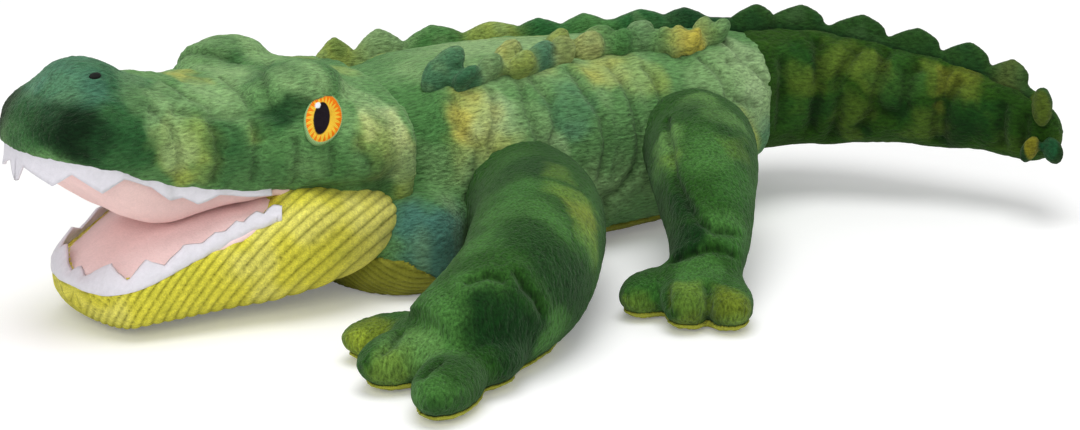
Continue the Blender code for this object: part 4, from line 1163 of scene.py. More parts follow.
def make_leg(name, leg, seams, marks):
    """The left leg: a stuffed limb that is sewn to the body, and a foot of three stuffed toes."""
    places, radii = limb_path(leg)
    ahead = unit(np.gradient(places, axis=0))
    sides = unit(np.cross(UPRIGHT, ahead))
    ups = np.cross(ahead, sides)
    rings = oval_rings(places, sides, radii, radii, radii, top_bulge=2.1, low_bulge=2.1, ups=ups)
    (x, y), (long, wide, high) = leg["pad"]
    solids = [add_loft("limb", rings), add_ball("pad", (x, y, high), np.diag([long, wide, high * 1.15]))]
    for (x, y), turn, long, wide, high in leg["toes"]:
        turn = math.radians(turn)
        toward = np.array([-math.cos(turn), -math.sin(turn), 0.0])
        across = np.cross(UPRIGHT, toward)
        lift = UPRIGHT * high + 0.12 * high * toward
        centre = np.array([x, y, high]) - toward * long
        solids.append(add_ball("toe", centre, [toward * long, across * wide, lift], bulge=2.2))
    piece = fuse(name, solids, LEG_CELL, rounds=3)
    keep_above(piece, PLUSH_BOTTOM + 0.0002)
    lines = seen_lines(piece, seams)
    points = points_of(piece)
    sewn = distance_to(lines, points) < LEG_PINNED
    sewn |= points[:, 2] < LEG_HELD_BELOW
    sewn |= -points[:, 1] < leg["plane"] + 0.001
    inflate(piece, sewn, LEG_SWELL)
    relax(piece, rounds=1)
    quilted(piece, lines, depth=0.0018, width=0.0013, puff=0.0006)
    seam_shade = hump(distance_to(laid_on(piece, lines), points_of(piece)), 0.0016)
    add_pile(piece, nap=(-0.5, -0.3, -1.0), height=0.00040, seed=7)
    points = keep_above(piece, PLUSH_BOTTOM)
    colours = mottled(points, LEG_GREEN, seen_patches(piece, marks), seed=6, size=0.012)
    colours = blotched(points, colours, MID, LEG_DARK, seed=27, size=0.017, strength=0.30)
    colours = deepened(colours, strength=0.25) * [0.62, 0.80, 0.50]
    # Painted shade: the leg darkens towards the floor and along its pressed-in seams.
    under = step_up(0.012 - points[:, 2], 0.0, 0.010)[:, None]
    colours *= (1 - 0.2 * under) * (1 - 0.45 * seam_shade)[:, None]
    tint(piece, colours)
    dress(piece, LEG_PLUSH)
    return piece


# How high the sole is cut from the foot's cloth, how far from the foot's middle, how much lower it is
# laid and how high its edge may then show
SOLE_TOP = 0.0042
SOLE_REACH = 0.056
SOLE_DROP = 0.0007
SOLE_EDGE = 0.0038


def make_sole(name, leg_piece, leg):
    """The yellow-green sole, whose edge shows round the foot."""
    points = points_of(leg_piece)
    foot = np.array([*leg["pad"][0], 0.0])
    low = points[:, 2] < SOLE_TOP
    low &= np.linalg.norm((points - foot) * [1.0, 1.0, 0.0], axis=1) < SOLE_REACH
    piece = cloth_patch(name, leg_piece, low, lift=0.0006, thickness=0.0009)
    places = points_of(piece)
    places[:, 2] = np.clip(places[:, 2] - SOLE_DROP, CLOTH_BOTTOM, SOLE_EDGE)
    set_points(piece, places)
    colours = blotched(places, plain(places, SOLE_YELLOW), YELLOW, OLIVE, seed=31, size=0.010, strength=0.5)
    tint(piece, colours)
    dress(piece, CORDUROY)
    return piece


def mirrored(piece, name, leg, right_advance):
    """A right leg: the left one's mirror, slid back along the way that the limb leads."""
    twin = add_object(name, piece.data.copy())
    points = points_of(twin)
    places, _ = limb_path(leg)
    moved, _ = limb_path(leg, right_advance)
    tree = point_tree(places)
    slides = moved[:, 0] - places[:, 0]
    travel = np.linspace(0.0, 1.0, len(places))
    for index, point in enumerate(points):
        near = tree.find_n(point, 3)
        weights = [1.0 / (distance + 1e-5) for _, _, distance in near]
        along = sum(weight * travel[number] for weight, (_, number, _) in zip(weights, near)) / sum(weights)
        points[index, 0] += np.interp(along, travel, slides)
    points[:, 1] *= -1
    set_points(twin, points)
    twin.data.flip_normals()
    keep_rest(twin)
    return twin


# How far ahead the left front leg's solid leads, and the right one's share of it
SOLID_FRONT_ADVANCE = 0.092
RIGHT_ADVANCE_SHARE = 0.85
RIGHT_FRONT_ADVANCE = SOLID_FRONT_ADVANCE * RIGHT_ADVANCE_SHARE
for kind, leg, seams, marks, right_advance in (
    ("front", FRONT_LEG, FRONT_LEG_SEAMS, FRONT_LEG_MARKS, RIGHT_FRONT_ADVANCE),
    ("hind", HIND_LEG, HIND_LEG_SEAMS, HIND_LEG_MARKS, HIND_LEG["advance"]),
):
    left_leg = make_leg(f"left_{kind}_plush", leg, seams, marks)
    left_sole = make_sole(f"left_{kind}_sole_cloth", left_leg, leg)
    right_leg = mirrored(left_leg, f"right_{kind}_plush", leg, right_advance)
    right_sole = mirrored(left_sole, f"right_{kind}_sole_cloth", leg, right_advance)
    for side, limb, sole in (("left", left_leg, left_sole), ("right", right_leg, right_sole)):
        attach(limb, f"{side}_{kind}_leg")
        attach(sole, f"{side}_{kind}_leg")
        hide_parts(f"{side}_{kind}_leg_skin", f"{side}_{kind}_leg_stuffing")
        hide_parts(f"{side}_{kind}_leg_sole")


# Tail
TAIL_BEFORE = 0.020
# How long one pixel of the photograph is at the plush
PIXEL_SIZE = 0.000381
TAIL_STATIONS = 140
# The tail's creases from the body's end to the tip, by pixels of the photograph
TAIL_SEAMS = (
    ((783, 62), (782, 90), (780, 122)),
    ((817, 42), (819, 70), (817, 95), (811, 128)),
    ((840, 98), (838, 115), (832, 135)),
    ((857, 50), (848, 62), (840, 76), (836, 88)),
    ((886, 52), (881, 75), (876, 90), (874, 110), (862, 126)),
    ((876, 104), (884, 112), (898, 114), (906, 106)),
    ((905, 72), (906, 88), (904, 104)),
    ((918, 68), (908, 78)),
    ((946, 72), (940, 100), (936, 118), (936, 140)),
    ((958, 84), (948, 102), (943, 120), (942, 140)),
    ((1003, 108), (1001, 125), (1002, 143)),
    ((1026, 118), (1024, 134), (1023, 148)),
)
TAIL_MARKS = (
    (790, 60, 0.009, GREEN, 0.6), (800, 80, 0.009, OLIVE, 0.6), (790, 110, 0.010, GREEN, 0.6),
    (805, 50, 0.007, DARK, 0.6), (815, 110, 0.007, DEEP, 0.8), (835, 60, 0.009, OLIVE, 0.7),
    (850, 55, 0.008, OLIVE, 0.6), (835, 100, 0.009, GREEN, 0.5), (852, 112, 0.009, OLIVE, 0.5),
    (868, 60, 0.008, OLIVE, 0.9), (874, 80, 0.007, OLIVE, 0.7), (862, 128, 0.006, DEEP, 0.7),
    (893, 88, 0.009, MID, 0.6), (895, 105, 0.006, DARK, 0.6), (900, 60, 0.008, GREEN, 0.5),
    (918, 85, 0.007, MID, 0.7), (915, 110, 0.010, DARK, 0.4), (925, 125, 0.010, OLIVE, 0.5),
    (938, 75, 0.007, OLIVE, 0.9), (946, 78, 0.005, OCHRE, 0.7), (940, 105, 0.004, OCHRE, 0.6),
    (936, 128, 0.005, OLIVE, 0.7), (962, 84, 0.008, OCHRE, 0.6), (972, 92, 0.007, OLIVE, 0.7),
    (960, 112, 0.010, DARK, 0.6), (955, 130, 0.010, DEEP, 0.8), (985, 110, 0.009, DARK, 0.7),
    (1000, 130, 0.009, DARK, 0.5), (985, 138, 0.009, DEEP, 0.5), (1015, 130, 0.009, TAIL_GREEN, 0.6),
    (850, 134, 0.006, OLIVE, 0.4),
)
# Distance along the tail from its root, height, half length, sideways lean of the spines
CREST = (
    (-0.0155, 0.0100, 0.0110, 0.10), (0.0040, 0.0098, 0.0130, 0.10), (0.0300, 0.0100, 0.0135, 0.08),
    (0.0540, 0.0100, 0.0130, 0.06), (0.0765, 0.0100, 0.0120, 0.04), (0.0960, 0.0098, 0.0105, 0.00),
)
# The stretched spines round the tail's tip: place in the picture, half length, half width, turn and dye
TIP_LUMPS = (
    (1040, 112, 20, 11, 88, (0.070, 0.110, 0.012)), (1033, 146, 13, 8, 80, (0.200, 0.190, 0.014)),
    (1048, 147, 13, 9, 90, (0.014, 0.085, 0.030)),
)
TAIL_CUTS = (0.0225, 0.0635)
TAIL_PIVOTS = (0.0, 0.042, 0.083)
BEND_REACH = 0.011
SEARCH_STEPS = 300
TAIL_CELL = 0.0021
TAIL_PINNED = 0.0016
TAIL_SWELL = 0.0025
TAIL_HELD_BEFORE = 0.097


def tail_line(along):
    """The tail's middle line at distances from its root: places and the ways that it leads."""
    steps = np.linspace(0.0, TAIL_LENGTH, 400)
    turns = np.radians(np.interp(steps / TAIL_LENGTH, *zip(*TAIL_HEADINGS)))
    gap = steps[1] - steps[0]
    middle = (turns[1:] + turns[:-1]) / 2
    xs = np.r_[0.0, np.cumsum(np.cos(middle) * gap)]
    ys = np.r_[0.0, np.cumsum(np.sin(middle) * gap)]
    root = np.array([NECK[0] + BODY_LENGTH, -TAIL_SHIFT])
    seam_way = np.array([math.cos(TAIL_SEAM_TURN), math.sin(TAIL_SEAM_TURN)])
    root = root + seam_way * TAIL_RIM_SHARE * TAIL_HALF_WIDTH
    along = np.asarray(along, float)
    before = np.minimum(along, 0.0)
    x = root[0] + np.interp(along, steps, xs) + before * seam_way[0]
    y = root[1] + np.interp(along, steps, ys) + before * seam_way[1]
    turn = np.interp(along, np.r_[-TAIL_BEFORE, steps], np.r_[TAIL_SEAM_TURN, turns])
    table = np.array(TAIL_SHARES)
    share = np.clip(along / TAIL_LENGTH, 0.0, 1.0)
    wide, tall, high = read_table(table, share)
    before_share = np.clip(-along / TAIL_BEFORE, 0.0, 1.0)
    wide = wide * TAIL_HALF_WIDTH * (1 + 0.08 * before_share)
    tall = tall * TAIL_HALF_HEIGHT * (1 + 0.02 * before_share)
    return np.stack([x, y, TAIL_HEIGHT * high], axis=-1), turn, wide, tall


def upright_ways(turns):
    """The tail's left side and upright at each of its turns."""
    sides = np.stack([np.sin(turns), -np.cos(turns), np.zeros_like(turns)], axis=1)
    return sides, np.tile(UPRIGHT, (len(turns), 1))


def tail_station(along):
    """The tail's middle, its leading way and its half height at one distance from its root."""
    place, turn, _, tall = (value[0] for value in tail_line([along]))
    return place, np.array([math.cos(turn), math.sin(turn), 0.0]), tall


def make_tail():
    """The tail's plush in one piece, gathered along its creases."""
    along = np.linspace(-TAIL_BEFORE, TAIL_LENGTH, TAIL_STATIONS)
    places, turns, wide, tall = tail_line(along)
    sides, ups = upright_ways(turns)
    rings = oval_rings(places, sides, wide, tall, tall, top_bulge=2.3, low_bulge=2.2, ups=ups)
    piece = fuse("tail_plush", [add_loft("tail_loft", rings)], TAIL_CELL, rounds=2)
    lines = seen_lines(piece, TAIL_SEAMS, tail_mirror)
    points = points_of(piece)
    sewn = distance_to(lines, points) < TAIL_PINNED
    sewn |= points[:, 0] < TAIL_HELD_BEFORE
    inflate(piece, sewn, TAIL_SWELL)
    relax(piece, rounds=1)
    quilted(piece, lines, depth=0.0021, width=0.0022, puff=0.0011)
    return piece, laid_on(piece, lines)


def tail_nearest(points):
    """How far along the tail each point lies, its offset to the tail's left, and the way there."""
    along = np.linspace(-TAIL_BEFORE, TAIL_LENGTH, SEARCH_STEPS)
    places, turns, _, _ = tail_line(along)
    flat = points[:, None, :2] - places[None, :, :2]
    index = np.argmin((flat ** 2).sum(2), axis=1)
    side = np.stack([np.sin(turns[index]), -np.cos(turns[index])], axis=1)
    offset = ((points[:, :2] - places[index, :2]) * side).sum(1)
    return along[index], offset, side


def tail_mirror(points):
    """The same spot on the tail's hidden side."""
    points = np.asarray(points, float)
    _, offset, side = tail_nearest(points)
    moved = points.copy()
    moved[:, :2] -= 2 * offset[:, None] * side
    return moved


def dye_and_shade_tail(piece, lines):
    """Gives the tail its pile, its patches of dye, and painted shade in its creases."""
    seam_shade = hump(distance_to(lines, points_of(piece)), 0.0024)
    add_pile(piece, nap=(0.7, -0.6, 0.0), height=0.00034, seed=11)
    points = points_of(piece)
    colours = mottled(points, TAIL_GREEN, seen_patches(piece, TAIL_MARKS, tail_mirror), seed=8, size=0.010)
    colours = blotched(points, colours, OLIVE, DEEP, seed=37, size=0.010, strength=0.26)
    # Painted shade in the creases, then the whole tail's dye made darker.
    colours *= (1 - 0.42 * seam_shade)[:, None] * [0.36, 0.46, 0.26]
    tint(piece, colours)


RIDGE_CELL = 0.0011
SPINE_THICKNESS = 0.0046
LUMP_DEPTH = 0.0060
LUMP_LIFT = 0.0040
# How far up a spine its rings lie, from inside the seam to the tip
SPINE_RINGS = (-0.30, -0.12, 0.0, 0.06, 0.14, 0.24, 0.36, 0.48, 0.60, 0.72, 0.82, 0.90, 0.95, 0.98, 0.995)


def make_spine(base, way, half_length, height, lean, flare):
    """One soft stuffed triangle of a ridge, rounded at its tip and wide at its foot."""
    across = np.cross(UPRIGHT, way)
    turns = np.linspace(0, 2 * math.pi, 28, endpoint=False)
    rings = []
    for share in SPINE_RINGS:
        inner = max(share, 0.0)
        half = half_length * max(0.05, 1 - inner ** 2.4)
        deep = SPINE_THICKNESS * (1 - 0.30 * inner) * math.sqrt(max(0.02, 1 - inner ** 5))
        middle = base + UPRIGHT * height * share + (across * lean + way * flare) * height * inner
        ring = middle + np.outer(power(np.cos(turns), 0.9) * half, way)
        rings.append(ring + np.outer(power(np.sin(turns), 0.9) * deep, across))
    return add_loft("spine", rings)


def picture_lump(tree, across, down, long, wide, turn):
    """A padded lump on a surface, whose outline in the picture is an oval stretched by so many degrees."""
    place, normal = place_on(tree, across, down)
    turn = math.radians(turn)
    leaned = []
    for way in (CAMERA_RIGHT, CAMERA_UP):
        slope = (way @ normal) / max(CAMERA_BACK @ normal, 0.2)
        leaned.append(way - CAMERA_BACK * np.clip(slope, -0.8, 0.8))
    length = (leaned[0] * math.cos(turn) + leaned[1] * math.sin(turn)) * long * PIXEL_SIZE
    width = (leaned[1] * math.cos(turn) - leaned[0] * math.sin(turn)) * wide * PIXEL_SIZE
    return add_ball("lump", place + normal * LUMP_LIFT, [length, width, normal * LUMP_DEPTH], bulge=2.1)


def place_on(tree, across, down):
    """The surface's place and normal behind a pixel. A pixel above the outline is lifted over its edge."""
    for lower in range(0, 40, 2):
        place, normal = surface_under(tree, across, down + lower)
        if place is not None:
            return np.array(place) + CAMERA_UP * PIXEL_SIZE * lower, np.array(normal)
    return None, None


def make_crest():
    """The single row of spines on top of the tail, sewn on as one padded strip."""
    solids = []
    along = np.linspace(-0.018, TAIL_LENGTH - 0.003, 60)
    places, turns, _, tall = tail_line(along)
    sides, ups = upright_ways(turns)
    ridge = places + ups * tall[:, None]
    width, depth = np.full(len(along), 0.0030), np.full(len(along), 0.0040)
    rings = oval_rings(ridge, sides, width, width, depth, top_bulge=2.0, low_bulge=2.0, ups=ups)
    solids.append(add_loft("crest_band", rings))
    for place_along, height, half_length, lean in CREST:
        place, way, tall = tail_station(place_along)
        base = place + UPRIGHT * tall
        solids.append(make_spine(base, way, half_length, height, lean, flare=0.36))
    tree = surface_tree(tail)
    solids += [picture_lump(tree, *lump[:5]) for lump in TIP_LUMPS]
    piece = fuse("tail_crest_plush", solids, RIDGE_CELL, rounds=3)
    add_pile(piece, nap=(0.7, -0.6, 0.4), height=0.00022, seed=13)
    points = points_of(piece)
    colours = blotched(points, plain(points, CREST_GREEN), MID, DARK, seed=41, size=0.010, strength=0.6)
    far, _, _ = tail_nearest(points)
    rise = points[:, 2] - tail_line(far)[0][:, 2] - tail_line(far)[3]
    # Painted shade where the crest meets the tail's top.
    colours = stained(colours, DEEP, 0.7 * step_up(0.003 - rise, 0.0, 0.003))
    colours = stained(colours, OLIVE, 0.5 * hump(far - 0.0990, 0.006))
    seen_across, seen_down = picture_place(points)
    for across, down, long, wide, _, dye in TIP_LUMPS:
        off = np.hypot((seen_across - across) / wide, (seen_down - down) / long)
        near = step_up(1.25 - off, 0.0, 0.3) * step_up(far, 0.100, 0.106)
        colours = stained(colours, np.array(dye) * 2.0, near)
    tint(piece, colours * 0.45)
    return piece


def cut_along(piece, names, cuts):
    """Cuts a piece across the tail into closed pieces, one for each stretch between the cuts."""
    parts = []
    bounds = [None, *cuts, None]
    for name, low, high in zip(names, bounds, bounds[1:]):
        part = add_object(name, piece.data.copy())
        shape = bmesh.new()
        shape.from_mesh(part.data)
        for bound, keep_after in ((low, True), (high, False)):
            if bound is None:
                continue
            place, way, _ = tail_station(bound)
            way = Vector(way if keep_after else -way)
            everything = [*shape.verts, *shape.edges, *shape.faces]
            bmesh.ops.bisect_plane(
                shape, geom=everything, plane_co=Vector(place), plane_no=way, clear_inner=True)
            rim = [edge for edge in shape.edges if edge.is_boundary]
            bmesh.ops.holes_fill(shape, edges=rim, sides=0)
        shape.to_mesh(part.data)
        shape.free()
        parts.append(part)
    bpy.data.objects.remove(piece)
    return parts


TAIL_BODIES = ("torso", "tail_1", "tail_2", "tail_3")
tail, tail_lines = make_tail()
dye_and_shade_tail(tail, tail_lines)
dress(tail, TAIL_PLUSH)
crest = make_crest()
dress(crest, TAIL_PLUSH)
tail_parts = cut_along(tail, ("tail_plush_1", "tail_plush_2", "tail_plush_3"), TAIL_CUTS)
crest_parts = cut_along(crest, ("tail_crest_1", "tail_crest_2", "tail_crest_3"), TAIL_CUTS)
for number, (plush_part, crest_part) in enumerate(zip(tail_parts, crest_parts)):
    place, way, _ = tail_station(TAIL_PIVOTS[number])
    for part in (plush_part, crest_part):
        start = tuple(place - way * BEND_REACH)
        end = tuple(place + way * BEND_REACH)
        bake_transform(part, TAIL_BODIES[number], TAIL_BODIES[number + 1], start, end)
    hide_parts(f"tail_{number + 1}_skin", f"tail_{number + 1}_stuffing")
    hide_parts(f"tail_{number + 1}_crest")


# Corduroy jaw and throat. Distances forward of the head's rear, in the head's own frame.
JAW_TOP = (
    (0.0275, 0.0360), (0.030, 0.0425), (0.034, 0.0465), (0.040, 0.0500), (0.048, 0.0520), (0.058, 0.0522),
    (0.068, 0.0515), (0.075, 0.0505), (0.079, 0.0480), (0.083, 0.0440), (0.090, 0.0416), (0.110, 0.0345),
    (0.140, 0.0238), (0.148, 0.0211),
)
JAW_BOTTOM = (
    (0.0275, 0.0280), (0.030, 0.0195), (0.034, 0.0135), (0.040, 0.0085), (0.048, 0.0052), (0.058, 0.0032),
    (0.070, 0.0016), (0.084, 0.0010), (0.100, 0.0010), (0.136, 0.0010), (0.143, 0.0040), (0.148, 0.0100),
)
JAW_WIDE = (
    (0.0275, 0.0300), (0.030, 0.0430), (0.034, 0.0495), (0.040, 0.0530), (0.048, 0.0548), (0.058, 0.0550),
    (0.068, 0.0538), (0.078, 0.0512), (0.086, 0.0478), (0.094, 0.0438), (0.110, 0.0385), (0.127, 0.0330),
    (0.139, 0.0290), (0.1455, 0.0210), (0.149, 0.0090),
)
JAW_END = 0.149
JAW_START = 0.0275
RIB_PITCH = 0.0056
RIB_HEIGHT = 0.0009
RIB_TURNS = ((0.030, 26), (0.060, 34), (0.095, 45), (0.150, 46))
CORDUROY_LIGHT = (0.800, 0.740, 0.070)
CORDUROY_PALE = (0.900, 0.850, 0.260)
CORDUROY_DEEP = (0.560, 0.560, 0.050)


JAW_ROWS = 210
JAW_STEPS = 360


def smooth_steps(low, high, count):
    """Stations that are closer together near both ends."""
    share = (1 - np.cos(np.linspace(0, math.pi, count))) / 2
    even = np.linspace(0, 1, count)
    return low + (high - low) * (0.65 * even + 0.35 * share)


def jaw_row(u):
    """Top, bottom and half width of the jaw at distances forward."""
    top = read_table(JAW_TOP, np.minimum(u, JAW_TOP[-1][0]))[0]
    bottom = read_table(JAW_BOTTOM, np.minimum(u, JAW_BOTTOM[-1][0]))[0]
    return top, bottom, read_table(JAW_WIDE, u)[0]


def make_jaw():
    """The jaw and throat in one skin; dress_jaw later raises its ribs, which run back and up along the
    sides.
    """
    rows, steps = JAW_ROWS, JAW_STEPS
    stations = smooth_steps(JAW_START, JAW_END, rows)
    top, bottom, wide = jaw_row(stations)
    turns = np.linspace(0, 2 * math.pi, steps, endpoint=False)
    cosine = np.cos(turns)
    sine = np.sin(turns)
    places = np.zeros((rows, steps, 3))
    for row in range(rows):
        square = float(step_up(stations[row], 0.056, 0.074)) * (sine > 0)
        across = power(cosine, 0.82 - 0.40 * square)
        lift = power(sine, 0.86 - 0.36 * square)
        middle = bottom[row] + 0.60 * (top[row] - bottom[row])
        height = np.where(lift > 0, lift * (top[row] - middle), lift * (middle - bottom[row]))
        places[row, :, 0] = stations[row]
        places[row, :, 1] = across * wide[row]
        places[row, :, 2] = middle + height
    skin = add_loft("jaw_plush", head_place(*np.moveaxis(places, -1, 0)))
    relax(skin, rounds=2)
    return skin


def rib_wave(points):
    """How high the ribs stand, from 0 to 1. They lie straight as seen from the front left."""
    u, v, z = head_frame(points)
    view_u, view_v, view_z = (value[0] for value in head_frame((NECK - CAMERA_BACK)[None]))
    away = np.abs(v) / abs(view_v)
    level = z + view_z * away
    place = u + view_u * away
    stations = np.linspace(-0.06, 0.15, 400)
    turns = np.radians(np.interp(stations, *zip(*RIB_TURNS)))
    rise = np.r_[0.0, np.cumsum(np.tan(turns[1:]) * (stations[1] - stations[0]))]
    wander = 0.0005 * cloth_noise(points, cell=0.020, seed=51)
    phase = (level + np.interp(place, stations, rise) + wander) / RIB_PITCH
    return np.abs(np.sin(math.pi * phase)) ** 0.38


def jaw_dye_and_shade(points):
    """The corduroy's colour: blotched dye, paler towards the rear, and painted shade that makes it deeper
    underneath.
    """
    u, _, z = head_frame(points)
    colours = plain(points, CORDUROY_LIGHT)
    colours = blotched(points, colours, CORDUROY_PALE, CORDUROY_DEEP, seed=53, size=0.016, strength=0.45)
    colours = stained(colours, CORDUROY_PALE, 0.45 * step_up(0.072 - u, 0.0, 0.030))
    # Painted shade: deeper underneath, towards the floor.
    return stained(colours, CORDUROY_DEEP, 0.45 * step_up(0.014 - z, 0.0, 0.012))


def dress_jaw(skin):
    """Raises the jaw's ribs and shades them."""
    wave = rib_wave(points_of(skin))
    fleck = cloth_noise(points_of(skin), cell=0.0009, seed=57)
    push_out(skin, RIB_HEIGHT * (wave - 0.5) + 0.00012 * fleck)
    shade = (0.26 + 0.80 * wave) * (1 + 0.20 * fleck)
    tint(skin, jaw_dye_and_shade(points_of(skin)) * shade[:, None])
    dress(skin, CORDUROY)


jaw = make_jaw()
dress_jaw(jaw)
jaw_start = head_place(HINGE_U - 0.016, 0.0, HINGE_Z)
jaw_end = head_place(HINGE_U + 0.014, 0.0, HINGE_Z)
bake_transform(jaw, "head", "jaw", tuple(jaw_start), tuple(jaw_end))
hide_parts("jaw_skin", "jaw_stuffing", "throat_panel")


# Mouth lining, in the head's frame
LINING_START = 0.075
PALATE_END = 0.1655
FLOOR_END = 0.1465
FLOOR_SWELL_END = 0.1455
PALATE_PINK = (0.950, 0.680, 0.650)
PALATE_HANG = (
    (0.075, 0.0040), (0.085, 0.0085), (0.100, 0.0125), (0.112, 0.0155), (0.124, 0.0165), (0.136, 0.0150),
    (0.150, 0.0095), (0.160, 0.0040), (0.166, 0.0010),
)
FLOOR_PINK = (0.970, 0.720, 0.700)


def sheet_sides(count, place):
    """Both sides of a soft sheet, whose points are place(share forward, share across, whether upper)."""
    forward = np.arange(count) / (count - 1)
    across = 2 * np.arange(count) / (count - 1) - 1
    return [np.array([[place(u, v, upper) for v in across] for u in forward]) for upper in (True, False)]


def rounded_end(forward, start, length):
    """A sheet's share of its width, which rounds off beyond the start of its end."""
    return math.sqrt(max(0.0, 1 - (max(0.0, forward - start) / length) ** 2))


def palate_place(forward, across, upper):
    """A point of the palate's cushion, which hangs from the lip and keeps off the mouth's floor."""
    u = LINING_START + (PALATE_END - LINING_START) * forward
    wide = float(read_table(HEAD_SHARES, (u - HEAD_REAR) / HEAD_LENGTH)[0]) * HEAD_HALF_WIDTH - 0.0062
    wide *= rounded_end(forward, 0.86, 0.145)
    level = float(lip_level(u))
    if upper:
        return np.array([u, across * wide, level + 0.006])
    hang = float(np.interp(u, *zip(*PALATE_HANG)))
    room = level - 0.0015 - floor_level(u, 0.0)
    hang = -0.0012 * math.log(math.exp(-hang / 0.0012) + math.exp(-room / 0.0012))
    fold = 0.0012 * math.exp(-((across + 0.45) / 0.16) ** 2) * float(step_up(1 - forward, 0.3, 0.8))
    return np.array([u, across * wide, level - 0.0012 - hang * (1 - abs(across) ** 6.0) - fold])


def floor_level(u, across):
    """How high the mouth's floor lies: a cushion that is fullest in the middle, and flatter at the rear."""
    top = float(jaw_row(u)[0])
    top = min(top, 0.0440 + max(0.0, 0.083 - u) * math.tan(-JAW_SLOPE))
    forward = min(1.0, max(0.0, (u - LINING_START) / (FLOOR_SWELL_END - LINING_START)))
    rear = 1 - float(step_up(forward, 0.05, 0.45))
    swell = max(0.76 * rear, math.sin(math.pi * min(1.0, 0.16 + 0.84 * (1 - forward) ** 0.9)) ** 0.7)
    return top - 0.0030 + 0.0085 * (1 - abs(across) ** (2.2 + 3.0 * rear)) * swell


def floor_place(forward, across, upper):
    """A point of the cushion on the mouth's floor."""
    u = LINING_START + (FLOOR_END - LINING_START) * forward
    wide = float(jaw_row(u)[2]) - 0.0026 - 0.012 * (1 - float(step_up(u, 0.076, 0.098)))
    wide *= rounded_end(forward, 0.85, 0.16)
    if not upper:
        return np.array([u, across * wide * 0.9, floor_level(u, 1.0) - 0.005])
    return np.array([u, across * wide, floor_level(u, across)])


def make_sheet(name, place, colour, replaced, body):
    """A soft, slightly creased sheet of lining."""
    upper, lower = (head_place(*np.moveaxis(side, -1, 0)) for side in sheet_sides(60, place))
    piece = add_sheet(name, upper, lower)
    refine(piece)
    places = points_of(piece)
    crease = cloth_noise(places, cell=(0.016, 0.010, 0.016), seed=61)
    fine = cloth_noise(places, cell=0.0016, seed=63)
    push_out(piece, 0.0005 * crease + 0.00005 * fine)
    # Painted light and shade on the creases: raised folds lighter, hollows darker, with a little fine grain.
    tint(piece, np.array(colour) * (1 + 0.05 * crease + 0.03 * fine)[:, None])
    dress(piece, TRICOT)
    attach(piece, body)
    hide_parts(replaced)


make_sheet("palate_cloth", palate_place, PALATE_PINK, "palate_lining", "head")
make_sheet("mouth_floor_cloth", floor_place, FLOOR_PINK, "mouth_floor", "jaw")


# Felt teeth: heights of the near side by the pixel that the lip or rim shows at, then round the front
UPPER_TEETH = (
    (271, 0.0032), (245, 0.0034), (219, 0.0032), (205, 0.0062), (196, 0.0078), (182, 0.0060),
    (168, 0.0080), (150, 0.0040), (122.5, 0.0040), (99, 0.0112), (71, 0.0055), (53, 0.0112), (24, 0.0064),
    (17.8, 0.0140), (12, 0.0090), (3, 0.0055),
)
UPPER_FRONT = ((0.0, 0.0050), (0.014, 0.0110), (0.026, 0.0050), (0.040, 0.0100), (0.052, 0.0060))
LOWER_TEETH = (
    (285, 0.0042), (275, 0.0060), (266, 0.0042), (257, 0.0062), (247, 0.0042), (238, 0.0064),
    (228, 0.0042), (217, 0.0060), (206, 0.0042), (188, 0.0066), (166, 0.0038), (150, 0.0090),
    (127, 0.0040), (102, 0.0115), (80, 0.0040), (68, 0.0115),
)
LOWER_FRONT = (
    (0.0, 0.0060), (0.004, 0.0040), (0.014, 0.0110), (0.024, 0.0040), (0.035, 0.0105), (0.045, 0.0060),
)
FELT_THICKNESS = 0.0020
FELT_ROWS = 9
FELT_WHITE = (0.80, 0.78, 0.84)
RIM_STEPS = 70
# A distance from the head's middle that is surely outside its skin
OUTSIDE = 0.12


def rim_path(piece, rear, turn_from, level, inset):
    """Points of the head's frame along the left half of a soft rim, from its rear to the front's middle."""
    tree = surface_tree(piece)
    forward, left, _ = (Vector(way) for way in head_place(*np.eye(3)) - NECK)
    rays = [(head_place(u, 0.0, level(u)), left) for u in np.linspace(rear, turn_from, RIM_STEPS)]
    for turn in np.linspace(math.pi / 2, 0.0, RIM_STEPS)[1:]:
        way = (left * math.sin(turn) + forward * math.cos(turn)).normalized()
        height = level(turn_from + 0.035 * math.cos(turn))
        rays.append((head_place(turn_from, 0.0, height), way))
    found = []
    for place, way in rays:
        hit, _, _, _ = tree.ray_cast(Vector(place) + way * OUTSIDE, -way)
        if hit is not None:
            found.append(np.array(hit) - np.array(way) * inset)
    return np.array(found)


def travelled(path):
    """How far along a path each of its points lies."""
    return np.r_[0.0, np.cumsum(np.linalg.norm(np.diff(path, axis=0), axis=1))]


def tooth_heights(path, near, front):
    """How long the felt is at each point of the path."""
    across, _ = picture_place(path)
    first = int(np.argmin(across))
    steps = travelled(path)
    heights = np.interp(across, *zip(*sorted(near)))
    beyond = (steps - steps[first]) % front[-1][0]
    heights[first:] = np.interp(beyond, *zip(*front))[first:]
    return heights


def dense_path(path, spacing):
    """The same path, with its points evenly spaced."""
    steps = travelled(path)
    wanted = np.linspace(0, steps[-1], int(steps[-1] / spacing) + 1)
    return np.stack([np.interp(wanted, steps, path[:, axis]) for axis in range(3)], axis=1)


def smooth_along(path, reach):
    """Replaces each point of a path by the mean of those within reach, apart from its ends."""
    kernel = np.ones(2 * reach + 1) / (2 * reach + 1)
    for axis in range(3):
        path[reach:-reach, axis] = np.convolve(path[:, axis], kernel, "valid")


